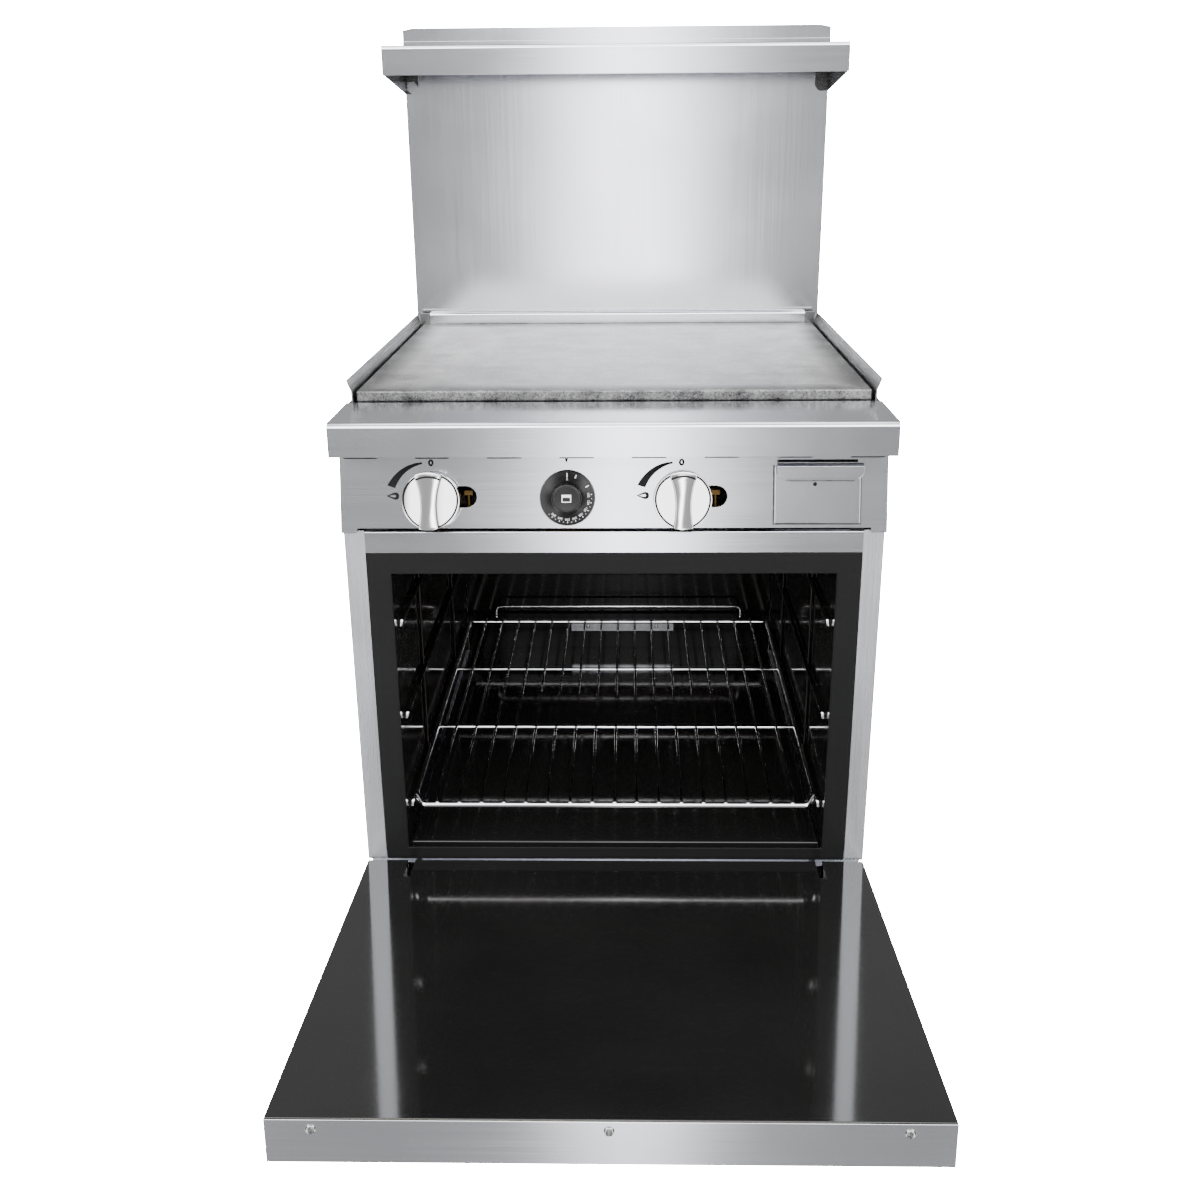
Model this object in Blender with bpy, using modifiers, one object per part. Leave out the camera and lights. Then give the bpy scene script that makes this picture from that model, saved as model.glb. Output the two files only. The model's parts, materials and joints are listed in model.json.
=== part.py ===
"""Commercial gas range: a griddle top over an oven with a drop-down door, a backguard and a high shelf.

Metres, +Z up. The front faces -Y. While it is modelled, Y = 0 is the face of the oven and Z = 0 the
floor; the empty range_origin then moves the whole range so that its box is centred over the origin.
The door is modelled shut, in its own frame, and its pivot empty holds it open.
"""

import math

import bmesh
import bpy
from mathutils import Matrix, Vector

# Body
BODY_WIDTH = 0.6096
BODY_DEPTH = 0.734
LEG_HEIGHT = 0.152
SHEET = 0.0012
GAP = 0.0003
CUTTER_REACH = 0.02
PAN_RIM = 0.022
AIR_OPENING = (0.22, 0.20)
AIR_OPENING_Y = 0.35
KICK_CLEARANCE = 0.010

# Oven
BURNER_BAY_HEIGHT = 0.238
OVEN_SIDE_SPACE = 0.0508
OVEN_HEIGHT = 0.3556
OVEN_BACK_SPACE = 0.074
FLANGE_SIDE = 0.0273
FLANGE_TOP = 0.0250
FLANGE_SHEET = 0.0020
FLANGE_SETBACK = 0.0004
SILL_HEIGHT = 0.0160
FLOOR_SETBACK = 0.016
FLOOR_SIDE_GAP = 0.0025
FLOOR_BEND = 0.003
LINER_DROP = 0.005
WOOL_CLEARANCE = 0.002
BULB_BRACKET = (0.172, 0.0015, 0.017)
BULB_BRACKET_X = 0.007
BULB_BRACKET_UP = 0.031

# Front above the oven
HEADER_HEIGHT = 0.0274
HEADER_BEND = 0.004
HEADER_FOOT = 0.014
HEADER_RETURN = 0.018
PANEL_HEIGHT = 0.1280
PANEL_TILT = math.radians(13)
PANEL_FORWARD = 0.0123
PANEL_BACK_Y = 0.020
LEDGE_ABOVE_PANEL = 0.004
LEDGE_FRONT = 0.0462
LEDGE_BACK_Y = 0.066
LEDGE_LIP = 0.037
LEDGE_RETURN = 0.012
LEDGE_FLANGE = 0.015
LEDGE_BEND = 0.007
LEDGE_SHEET = 0.0015

# Controls, measured on the slanted face: across from the middle, and up from its lower edge
KNOB_X = (-0.2015, 0.0773)
KNOB_UP = 0.037
KNOB_RADIUS = 0.0325
KNOB_HEIGHT = 0.034
KNOB_BASE_HEIGHT = 0.0235
GRIP_WAIST = 0.0085
GRIP_WAIST_UP = -0.006
GRIP_TOP = 0.0170
GRIP_FOOT = 0.0115
DIAL_X = -0.0505
DIAL_UP = 0.0395
DIAL_RADIUS = 0.031
DIAL_HEIGHT = 0.029
DIAL_HUB_RADIUS = 0.0165
CONTROL_LIFT = 0.0025
STEM_RADIUS = 0.004
STEM_CLEARANCE = 0.0006
STEM_HOLE_CLEARANCE = 0.002
STEM_OUT = 0.018
STEM_BORE_DEPTH = 0.020
PILOT_OFFSET = 0.038
PILOT_UP = 0.0405
PILOT_BACK = 0.026
PILOT_RADIUS = 0.0032
SIGHT_RADIUS = 0.012
SIGHT_INNER_OFFSET = 0.030
VENT_COUNT = 8
VENT_MARGIN = 0.004
VENT_LENGTH = 0.038
VENT_WIDTH = 0.007
VENT_BELOW_LIP = 0.0073
PANEL_NOTCH = 0.0055
PANEL_TAB = 0.018

# Grease drawer
DRAWER_FROM_SIDE = 0.0783
DRAWER_WIDTH = 0.095
DRAWER_UP = (0.0105, 0.078)
DRAWER_PROUD = 0.003
DRAWER_LENGTH = 0.190
DRAWER_TRAVEL_ROOM = 0.004
DRAWER_FACE_LAP = 0.003
DRAWER_SIDE_GAP = 0.0015
DRAWER_FRONT_Y = 0.012
GRIP_REACH = 0.0120
GRIP_DROP = 0.0165
PULL_HOLE_RADIUS = 0.0021
PULL_HOLE_UP = 0.0575

# Griddle
PLATE_ABOVE_LEDGE = 0.012
PLATE_THICKNESS = 0.0127
PLATE_SIDE_MARGIN = 0.0103
PLATE_FRONT_GAP = 0.006
PLATE_EDGE = 0.0015
PLATE_BACK_GAP = 0.016
SPLASH_SHEET = 0.002
SPLASH_HEIGHT = 0.014
SPLASH_LEAN = 0.0052
SPLASH_GAP = 0.0030
SPLASH_DROP = 0.037
REAR_SPLASH_SPACE = 0.0125
REAR_BEAD = 0.0045
POST_WIDTH = 0.010
POST_DEPTH = 0.002
TROUGH_WIDTH = 0.032
TROUGH_DEPTH = 0.031
TROUGH_GAP = 0.0015
TROUGH_BELOW_PLATE = 0.003
CHUTE_LENGTH = 0.044
CHUTE_SHEET = 0.0015
CHUTE_INSET = 0.005

# Backguard and high shelf
BACKGUARD_DEPTH = 0.114
BACKGUARD_RISE = 0.427
CORNER_CHAMFER = (0.013, 0.003)
HEM_ABOVE_SPLASH = 0.004
HEM_HEIGHT = 0.0025
HEM_PROUD = 0.0022
FLUE_HALF = 0.095
FLUE_SHEET = 0.001
FLUE_FROM_BACK = (0.070, 0.007)
FLUE_BELOW_OVEN_TOP = 0.10
FLUE_BELOW_CAP = 0.012
OUTLET_MARGIN = 0.004
SHELF_DROP = 0.0315
SHELF_LIP = 0.0365
SHELF_RETURN = 0.010
SHELF_UPSTAND = 0.014
SHELF_REACH = 0.1885
SHELF_BEND = 0.0055
BRACKET_FLANGE = 0.019
BRACKET_FALL = 0.020
BRACKET_CORNER = 0.009

# Door
DOOR_THICKNESS = 0.046
DOOR_PIVOT_INSET = 0.007
DOOR_FACE_GAP = 0.002
DOOR_HEEL_GAP = 0.003
DOOR_TOP_GAP = 0.0025
DOOR_BELOW_SILL = 0.0155
DOOR_OPEN = math.radians(86)
DOOR_PANEL_SHEET = 0.0015
DOOR_PANEL_MARGIN = 0.0005
DOOR_WOOL_MARGIN = 0.003
HINGE_FROM_SIDE = 0.0548
HINGE_PLATE = 0.005
HINGE_LUG = 0.0052
HINGE_PIN = 0.003
HINGE_PIN_CLEARANCE = 0.0004
HINGE_SLOT_ROOM = 0.003
HINGE_ARM_GAP = 0.002
HINGE_ARM_SHEET = 0.003
HINGE_ARM_Z = (-0.022, 0.110)
HINGE_REACH = 0.050
HANDLE_RADIUS = 0.0125
HANDLE_LENGTH = 0.460
HANDLE_STANDOFF = 0.045
HANDLE_BELOW_TOP = 0.080
HANDLE_POST_RADIUS = 0.0085
HANDLE_POST_INSET = 0.035

# Rack and its guides
GUIDE_WIRE = 0.003
GUIDE_FIRST = 0.0495
GUIDE_TOP_SPACE = 0.0671
GUIDE_COUNT = 3
GUIDE_WALL_GAP = 0.0005
GUIDE_FRONT_Y = 0.026
GUIDE_BACK_SPACE = 0.035
GUIDE_OVERRUN = 0.012
GUIDE_UPRIGHT_INSET = 0.150
RACK_SIDE_GAP = 0.001
RACK_END_SPACE = 0.020
RACK_FRAME_WIRE = 0.0035
RACK_CROSS_BARS = 2
RACK_WIRE = 0.002
RACK_WIRES = 17
RACK_STOP_RISE = 0.030
RACK_STOP_INSET = 0.0445

# Gas
MANIFOLD_UP = 0.014
MANIFOLD_Y = 0.082
INLET_FROM_SIDE = 0.0328
INLET_CLEARANCE = 0.004
PIPE_RADIUS = 0.0133
VALVE_BODY = (0.024, 0.030, 0.026)
THERMOSTAT_BODY = (0.052, 0.034, 0.056)
VALVE_BACK = 0.012
BURNER_RADIUS = 0.014
BURNER_BELOW_PLATE = 0.062
BURNER_FALL = 0.018
BURNER_END_SPACE = 0.050
OVEN_BURNER_RADIUS = 0.020
OVEN_BURNER_UP = 0.125
OVEN_BURNER_FRONT_Y = 0.10
OVEN_BURNER_END_SPACE = 0.060

# Legs
LEG_RADIUS = 0.0205
LEG_PLATE_RADIUS = 0.0315
LEG_PLATE_SHEET = 0.003
FOOT_RADIUS = 0.0190
FOOT_HEIGHT = 0.045
FOOT_STEM = 0.009
FOOT_STEM_CLEARANCE = 0.0005
FOOT_SOCKET = 0.046
LEG_INSET = 0.050

# Worked out from the sizes above
HALF = BODY_WIDTH / 2
INNER_HALF = HALF - SHEET - GAP
OVEN_HALF = HALF - OVEN_SIDE_SPACE
SILL_Z = LEG_HEIGHT + BURNER_BAY_HEIGHT
OVEN_TOP_Z = SILL_Z + OVEN_HEIGHT
FLANGE_TOP_Z = OVEN_TOP_Z + FLANGE_TOP
FLANGE_BOTTOM_Z = SILL_Z - SILL_HEIGHT
FLANGE_X = OVEN_HALF + FLANGE_SIDE
FLANGE_Y = (FLANGE_SETBACK, FLANGE_SETBACK + FLANGE_SHEET)
PANEL_BOTTOM_Z = FLANGE_TOP_Z + HEADER_HEIGHT
PANEL_TOP_Z = PANEL_BOTTOM_Z + PANEL_HEIGHT
LEDGE_TOP_Z = PANEL_TOP_Z + LEDGE_ABOVE_PANEL
PLATE_TOP_Z = LEDGE_TOP_Z + PLATE_ABOVE_LEDGE
LIP_Z = LEDGE_TOP_Z - LEDGE_LIP
PLATE_HALF = HALF - PLATE_SIDE_MARGIN
SPLASH_TOP_Z = PLATE_TOP_Z + SPLASH_HEIGHT
BODY_TOP_Z = LEDGE_TOP_Z - LEDGE_SHEET - GAP
BACKGUARD_Y = BODY_DEPTH - BACKGUARD_DEPTH
PLATE_BACK_Y = BACKGUARD_Y - PLATE_BACK_GAP
BACKGUARD_TOP_Z = LEDGE_TOP_Z + BACKGUARD_RISE
SHELF_TOP_Z = BACKGUARD_TOP_Z - SHELF_DROP
SHELF_FRONT_Y = BACKGUARD_Y - SHELF_REACH
OVEN_DEPTH = BODY_DEPTH - OVEN_BACK_SPACE
DRAWER_X = HALF - DRAWER_FROM_SIDE
HINGE_X = HALF - HINGE_FROM_SIDE
MANIFOLD_Z = PANEL_BOTTOM_Z + MANIFOLD_UP
INLET_X = -HALF + INLET_FROM_SIDE
FLUE_Y = tuple(BODY_DEPTH - space for space in FLUE_FROM_BACK)
DOOR_INNER = DOOR_THICKNESS - DOOR_PIVOT_INSET
PIVOT_Y = -DOOR_FACE_GAP - DOOR_INNER
DOOR_HEEL = (-DOOR_HEEL_GAP - PIVOT_Y - DOOR_INNER * math.cos(DOOR_OPEN)) / math.sin(DOOR_OPEN)
DOOR_HEEL_RISE = DOOR_INNER * math.sin(DOOR_OPEN) - DOOR_HEEL * math.cos(DOOR_OPEN)
PIVOT_Z = SILL_Z - DOOR_BELOW_SILL - DOOR_HEEL_RISE
DOOR_TOP = PANEL_BOTTOM_Z - DOOR_TOP_GAP - PIVOT_Z
DOOR_SWEEP_Y = PIVOT_Y + math.hypot(DOOR_INNER, DOOR_HEEL)
KICK_Y = DOOR_SWEEP_Y + KICK_CLEARANCE
FRONT_MOST_Y = PIVOT_Y - DOOR_PIVOT_INSET * math.cos(DOOR_OPEN) - DOOR_TOP * math.sin(DOOR_OPEN)

for leftover in list(bpy.data.objects):
    bpy.data.objects.remove(leftover, do_unlink=True)
parts = bpy.data.collections.new("commercial_gas_range")
cutters = bpy.data.collections.new("cutters")
bpy.context.scene.collection.children.link(parts)
bpy.context.scene.collection.children.link(cutters)


def finish(name, colour, metallic, roughness):
    material = bpy.data.materials.new(name)
    material.use_nodes = True
    shader = material.node_tree.nodes["Principled BSDF"]
    shader.inputs["Base Color"].default_value = (*colour, 1)
    shader.inputs["Metallic"].default_value = metallic
    shader.inputs["Roughness"].default_value = roughness
    return material


STAINLESS = finish("stainless", (0.70, 0.70, 0.72), 1.0, 0.28)
ENAMEL = finish("black_enamel", (0.010, 0.010, 0.011), 0.0, 0.10)
CHROME = finish("chrome", (0.86, 0.86, 0.87), 1.0, 0.06)
GROUND_STEEL = finish("ground_steel", (0.52, 0.52, 0.51), 1.0, 0.42)
GALVANISED = finish("galvanised", (0.60, 0.62, 0.64), 1.0, 0.48)
CAST_IRON = finish("cast_iron", (0.06, 0.06, 0.06), 0.6, 0.65)
BRASS = finish("brass", (0.72, 0.50, 0.20), 1.0, 0.25)
BLACK_PLASTIC = finish("black_plastic", (0.014, 0.014, 0.015), 0.0, 0.30)
MINERAL_WOOL = finish("mineral_wool", (0.70, 0.64, 0.44), 0.0, 0.95)


def empty(name, place, turn=(0, 0, 0), parent=None):
    made = bpy.data.objects.new(name, None)
    parts.objects.link(made)
    made.location = place
    made.rotation_euler = turn
    made.parent = parent
    return made


RANGE = empty("range_origin", (0, -(FRONT_MOST_Y + BODY_DEPTH) / 2, 0))
PANEL = empty("panel_frame", (0, -PANEL_FORWARD, PANEL_BOTTOM_Z), (-PANEL_TILT, 0, 0), RANGE)
DOOR = empty("door_pivot", (0, PIVOT_Y, PIVOT_Z), (DOOR_OPEN, 0, 0), RANGE)


def add(name, bm, material, parent=RANGE, group=parts):
    """An object from a bmesh, in its parent's frame."""
    bmesh.ops.recalc_face_normals(bm, faces=bm.faces)
    mesh = bpy.data.meshes.new(name)
    bm.to_mesh(mesh)
    bm.free()
    made = bpy.data.objects.new(name, mesh)
    group.objects.link(made)
    made.parent = parent
    if group is cutters:
        made.hide_render = True
        made.display_type = "WIRE"
    else:
        mesh.materials.append(material)
    return made


def add_box_to(bm, x, y, z):
    size = Vector((x[1] - x[0], y[1] - y[0], z[1] - z[0]))
    middle = Vector((sum(x) / 2, sum(y) / 2, sum(z) / 2))
    bmesh.ops.create_cube(bm, size=1, matrix=Matrix.Translation(middle) @ Matrix.Diagonal((*size, 1)))


def box(name, x, y, z, material, parent=RANGE, group=parts):
    bm = bmesh.new()
    add_box_to(bm, x, y, z)
    return add(name, bm, material, parent, group)


def add_rod_to(bm, start, end, radius, sides):
    start, end = Vector(start), Vector(end)
    turn = (end - start).to_track_quat("Z", "Y").to_matrix().to_4x4()
    bmesh.ops.create_cone(
        bm, cap_ends=True, segments=sides, radius1=radius, radius2=radius, depth=(end - start).length,
        matrix=Matrix.Translation((start + end) / 2) @ turn,
    )


def rod(name, start, end, radius, material, sides=24, parent=RANGE, group=parts):
    bm = bmesh.new()
    add_rod_to(bm, start, end, radius, sides)
    return add(name, bm, material, parent, group)


def outline_point(axis, along, pair):
    """A point of a flat outline: pair holds the two coordinates across the axis, in X, Y, Z order."""
    point = list(pair)
    point.insert("XYZ".index(axis), along)
    return point


def prism(name, outline, axis, start, end, material, parent=RANGE, group=parts):
    """A flat outline pushed along an axis."""
    bm = bmesh.new()
    face = bm.faces.new([bm.verts.new(outline_point(axis, start, pair)) for pair in outline])
    pushed = bmesh.ops.extrude_face_region(bm, geom=[face])["geom"]
    shift = Vector(outline_point(axis, end - start, (0, 0)))
    bmesh.ops.translate(bm, vec=shift, verts=[v for v in pushed if isinstance(v, bmesh.types.BMVert)])
    return add(name, bm, material, parent, group)


def sheet(name, path, axis, start, end, thickness, side, material, parent=RANGE, group=parts):
    """Folded sheet: an open path pushed along an axis and thickened to one side of the path."""
    bm = bmesh.new()
    rows = [[bm.verts.new(outline_point(axis, at, pair)) for pair in path] for at in (start, end)]
    for i in range(len(path) - 1):
        bm.faces.new((rows[0][i], rows[0][i + 1], rows[1][i + 1], rows[1][i]))
    mesh = bpy.data.meshes.new(name)
    bm.to_mesh(mesh)
    bm.free()
    made = bpy.data.objects.new(name, mesh)
    group.objects.link(made)
    made.parent = parent
    solid = made.modifiers.new("thickness", "SOLIDIFY")
    solid.thickness = thickness
    solid.offset = side
    solid.use_even_offset = True
    if group is cutters:
        made.hide_render = True
        made.display_type = "WIRE"
    else:
        mesh.materials.append(material)
    return made


def turned(name, profile, sides, material, place, turn=(0, 0, 0), parent=RANGE):
    """A profile of (radius, height), from the top centre down the outside, turned about its own Z."""
    bm = bmesh.new()
    ring = [bm.verts.new((radius, 0, height)) for radius, height in profile]
    for first, second in zip(ring, ring[1:]):
        bm.edges.new((first, second))
    mesh = bpy.data.meshes.new(name)
    bm.to_mesh(mesh)
    bm.free()
    mesh.materials.append(material)
    made = bpy.data.objects.new(name, mesh)
    parts.objects.link(made)
    made.parent = parent
    made.location = place
    made.rotation_euler = turn
    screw = made.modifiers.new("turned", "SCREW")
    screw.steps = screw.render_steps = sides
    screw.use_merge_vertices = True
    screw.merge_threshold = 0.00001
    screw.use_smooth_shade = False
    return made


def tube(name, points, radius, material, parent=RANGE):
    """A round bar bent along straight runs."""
    curve = bpy.data.curves.new(name, "CURVE")
    curve.dimensions = "3D"
    curve.bevel_depth = radius
    curve.bevel_resolution = 2
    curve.use_fill_caps = True
    run = curve.splines.new("POLY")
    run.points.add(len(points) - 1)
    for point, place in zip(run.points, points):
        point.co = (*place, 1)
    curve.materials.append(material)
    made = bpy.data.objects.new(name, curve)
    parts.objects.link(made)
    made.parent = parent
    return made


def combine(target, other, operation):
    step = target.modifiers.new(other.name, "BOOLEAN")
    step.operation = operation
    step.object = other


def cut(target, *others):
    for other in others:
        combine(target, other, "DIFFERENCE")


def join(target, *others):
    for other in others:
        combine(target, other, "UNION")


def arc(centre, radius, start, end, steps):
    """Points on an arc, in degrees, in the outline's own plane."""
    turns = [math.radians(start + (end - start) * i / steps) for i in range(steps + 1)]
    return [(centre[0] + radius * math.cos(a), centre[1] + radius * math.sin(a)) for a in turns]


def helper_box(name, x, y, z, parent=RANGE):
    return box(name, x, y, z, None, parent, cutters)


def pair_sides(make):
    """Runs make for the left side, then the right."""
    for word, side in (("left", -1), ("right", 1)):
        make(word, side)


def span(side, inner, outer):
    """The X range between two distances from the middle, on one side."""
    return tuple(sorted((side * inner, side * outer)))


def around(value, reach=CUTTER_REACH):
    """A range that passes a value by the same reach both ways."""
    return (value - reach, value + reach)


def inside_of(ends, wall):
    """A range with a wall taken off both ends."""
    return (ends[0] + wall, ends[1] - wall)


# Casing


def side_panel(word, side):
    """A flat side with its front edge turned in, stepped back below the oven to clear the door's heel."""
    back = BODY_DEPTH - SHEET - GAP
    panel_back = PANEL_BACK_Y + GAP
    panel_z = PANEL_BOTTOM_Z - GAP
    outline = [
        (KICK_Y, LEG_HEIGHT), (back, LEG_HEIGHT), (back, BODY_TOP_Z), (panel_back, BODY_TOP_Z),
        (panel_back, panel_z), (0, panel_z), (0, FLANGE_BOTTOM_Z), (KICK_Y, FLANGE_BOTTOM_Z),
    ]
    wall = prism(f"side_panel_{word}", outline, "X", *span(side, HALF - SHEET, HALF), STAINLESS)
    strip = span(side, FLANGE_X + GAP, HALF - SHEET / 2)
    join(
        wall,
        helper_box(f"front_strip_{word}", strip, (0, SHEET), (FLANGE_BOTTOM_Z, panel_z)),
        helper_box(f"kick_strip_{word}", strip, (KICK_Y, KICK_Y + SHEET), (LEG_HEIGHT, FLANGE_BOTTOM_Z)),
    )


def casing():
    pair_sides(side_panel)
    back = box(
        "back_panel", (-HALF, HALF), (BODY_DEPTH - SHEET, BODY_DEPTH), (LEG_HEIGHT, BODY_TOP_Z), GALVANISED
    )
    hole_ends = [(INLET_X, BODY_DEPTH + reach, MANIFOLD_Z) for reach in (-CUTTER_REACH, CUTTER_REACH)]
    cut(back, rod("inlet_hole", *hole_ends, PIPE_RADIUS + INLET_CLEARANCE, None, group=cutters))

    front, rear = KICK_Y + SHEET + GAP, BODY_DEPTH - SHEET - 2 * GAP
    floor_z = LEG_HEIGHT + GAP
    rim_z = floor_z + PAN_RIM
    path = [(front, rim_z), (front, floor_z), (rear, floor_z), (rear, rim_z)]
    pan = sheet("base_pan", path, "X", -INNER_HALF, INNER_HALF, SHEET, -1, GALVANISED)
    air_x, air_y = AIR_OPENING
    cut(pan, helper_box("air_opening", (-air_x / 2, air_x / 2),
                        (AIR_OPENING_Y - air_y / 2, AIR_OPENING_Y + air_y / 2), around(floor_z)))

    kick = box(
        "kick_plate", (-FLANGE_X, FLANGE_X), (KICK_Y, KICK_Y + SHEET),
        (LEG_HEIGHT, FLANGE_BOTTOM_Z - GAP), STAINLESS,
    )
    slot_half = HINGE_LUG + HINGE_SLOT_ROOM
    for side in (-1, 1):
        slot_x = (side * HINGE_X - HINGE_PLATE, side * HINGE_X + HINGE_PLATE)
        slot_z = (PIVOT_Z - slot_half, PIVOT_Z + slot_half)
        cut(kick, helper_box(f"kick_slot_{side}", slot_x, around(KICK_Y), slot_z))


def header():
    """The strip above the oven, folded back along its top on a small radius."""
    top = PANEL_BOTTOM_Z - GAP
    bottom = FLANGE_TOP_Z + GAP
    bend = arc((HEADER_BEND, top - HEADER_BEND), HEADER_BEND, 180, 90, 4)
    path = [(HEADER_FOOT, bottom), (0, bottom), *bend, (HEADER_RETURN, top)]
    sheet("header_rail", path, "X", -FLANGE_X, FLANGE_X, SHEET, 1, STAINLESS)


# Oven

def oven():
    """The enamelled face frame, the five liner sheets behind it, the wool round them and the bulb's bracket."""
    frame = box(
        "oven_front_frame", (-FLANGE_X, FLANGE_X), FLANGE_Y, (FLANGE_BOTTOM_Z, FLANGE_TOP_Z), ENAMEL
    )
    cut(frame, helper_box("oven_opening", (-OVEN_HALF, OVEN_HALF), around(0), (SILL_Z, OVEN_TOP_Z)))

    liner_y = (FLANGE_Y[1] + GAP, OVEN_DEPTH + SHEET)
    liner_low = SILL_Z - LINER_DROP

    def wall(word, side):
        x = span(side, OVEN_HALF, OVEN_HALF + SHEET)
        box(f"oven_side_{word}", x, liner_y, (liner_low, OVEN_TOP_Z + SHEET), ENAMEL)

    pair_sides(wall)
    inside = (-OVEN_HALF + GAP, OVEN_HALF - GAP)
    box("oven_top", inside, liner_y, (OVEN_TOP_Z, OVEN_TOP_Z + SHEET), ENAMEL)
    box("oven_back", inside, (OVEN_DEPTH, liner_y[1]), (liner_low, OVEN_TOP_Z - GAP), ENAMEL)
    floor_half = OVEN_HALF - FLOOR_SIDE_GAP
    lip = arc((FLOOR_SETBACK + FLOOR_BEND, SILL_Z - FLOOR_BEND), FLOOR_BEND, 180, 90, 3)
    path = [(FLOOR_SETBACK, FLANGE_BOTTOM_Z), *lip, (OVEN_DEPTH - GAP, SILL_Z)]
    sheet("oven_floor", path, "X", -floor_half, floor_half, SHEET, 1, ENAMEL)
    wide, thick, tall = BULB_BRACKET
    bracket_back, bracket_low = OVEN_DEPTH - GAP, SILL_Z + BULB_BRACKET_UP
    box(
        "bulb_bracket", (BULB_BRACKET_X - wide / 2, BULB_BRACKET_X + wide / 2),
        (bracket_back - thick, bracket_back), (bracket_low, bracket_low + tall), STAINLESS,
    )

    outer, inner = FLANGE_X - WOOL_CLEARANCE, OVEN_HALF + SHEET + GAP
    low, high, under = SILL_Z, FLANGE_TOP_Z - WOOL_CLEARANCE, OVEN_TOP_Z + SHEET + GAP
    wool = [
        (-outer, low), (-outer, high), (outer, high), (outer, low),
        (inner, low), (inner, under), (-inner, under), (-inner, low),
    ]
    prism("oven_insulation", wool, "Y", liner_y[0] + WOOL_CLEARANCE, OVEN_DEPTH - WOOL_CLEARANCE, MINERAL_WOOL)


GUIDE_X = OVEN_HALF - GUIDE_WIRE - GUIDE_WALL_GAP
GUIDE_REAR_Y = OVEN_DEPTH - GUIDE_BACK_SPACE
GUIDE_PITCH = (OVEN_HEIGHT - GUIDE_FIRST - GUIDE_TOP_SPACE) / (GUIDE_COUNT - 1)


def rack_guide(word, side):
    """Three rails of wire across two uprights, hooked onto the oven's side."""
    x = side * GUIDE_X
    levels = [SILL_Z + GUIDE_FIRST + GUIDE_PITCH * i for i in range(GUIDE_COUNT)]
    first = (x, GUIDE_FRONT_Y, levels[0])
    guide = rod(f"rack_guide_{word}", first, (x, GUIDE_REAR_Y, levels[0]), GUIDE_WIRE, CHROME, sides=8)
    bm = bmesh.new()
    for level in levels[1:]:
        add_rod_to(bm, (x, GUIDE_FRONT_Y, level), (x, GUIDE_REAR_Y, level), GUIDE_WIRE, 8)
    join(guide, add(f"upper_rails_{word}", bm, None, RANGE, cutters))
    bm = bmesh.new()
    upright = GUIDE_WIRE * 0.6
    outer_x = side * (OVEN_HALF - upright - GAP)
    low, high = levels[0] - GUIDE_OVERRUN, levels[-1] + GUIDE_OVERRUN
    for y in inside_of((GUIDE_FRONT_Y, GUIDE_REAR_Y), GUIDE_UPRIGHT_INSET):
        add_rod_to(bm, (outer_x, y, low), (outer_x, y, high), upright, 8)
    join(guide, add(f"uprights_{word}", bm, None, RANGE, cutters))


RACK_HALF = GUIDE_X - RACK_SIDE_GAP
RACK_FRONT_Y = RACK_END_SPACE
RACK_BACK_Y = OVEN_DEPTH - RACK_END_SPACE
RACK_Z = SILL_Z + GUIDE_FIRST + GUIDE_WIRE + RACK_FRAME_WIRE + GAP


def oven_rack():
    """A square-bar frame under lengthwise wires, with a stop hoop turned up at the back."""
    wide = RACK_HALF
    inner = wide - 2 * RACK_FRAME_WIRE
    z = (RACK_Z - RACK_FRAME_WIRE, RACK_Z + RACK_FRAME_WIRE)
    rack = box("oven_rack", (-wide, wide), (RACK_FRONT_Y, RACK_BACK_Y), z, CHROME)
    well_y = (RACK_FRONT_Y + 2 * RACK_FRAME_WIRE, RACK_BACK_Y - 2 * RACK_FRAME_WIRE)
    cut(rack, helper_box("rack_well", (-inner, inner), well_y, around(RACK_Z)))
    bm = bmesh.new()
    half_bar = RACK_FRAME_WIRE - 0.0005
    for i in range(RACK_CROSS_BARS):
        y = RACK_FRONT_Y + (RACK_BACK_Y - RACK_FRONT_Y) * (i + 1) / (RACK_CROSS_BARS + 1)
        bar_x = (-wide + RACK_WIRE, wide - RACK_WIRE)
        add_box_to(bm, bar_x, around(y, half_bar), around(RACK_Z, half_bar))
    join(rack, add("rack_cross_bars", bm, None, RANGE, cutters))
    bm = bmesh.new()
    pitch = 2 * (wide - RACK_FRAME_WIRE) / (RACK_WIRES + 1)
    for i in range(RACK_WIRES):
        x = (i - (RACK_WIRES - 1) / 2) * pitch
        wire_z = (RACK_Z + 0.75 * RACK_WIRE, RACK_Z + 2.75 * RACK_WIRE)
        add_box_to(bm, around(x, RACK_WIRE), (RACK_FRONT_Y + 0.001, RACK_BACK_Y - 0.001), wire_z)
    join(rack, add("rack_wires", bm, None, RANGE, cutters))
    hoop, thick = RACK_HALF - RACK_STOP_INSET, 2 * half_bar
    hoop_back = RACK_BACK_Y - 0.0005
    top = RACK_Z + RACK_STOP_RISE
    loop = helper_box("rack_stop", (-hoop, hoop), (hoop_back - thick, hoop_back), (RACK_Z, top))
    window_z = (RACK_Z + RACK_WIRE, top - thick)
    cut(loop, helper_box("stop_window", (-hoop + thick, hoop - thick), around(hoop_back), window_z))
    join(rack, loop)


# Control panel and ledge


def stem_hole(name, x, up, radius):
    return rod(name, (x, -CUTTER_REACH, up), (x, CUTTER_REACH, up), radius, None, 24, PANEL, cutters)


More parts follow.
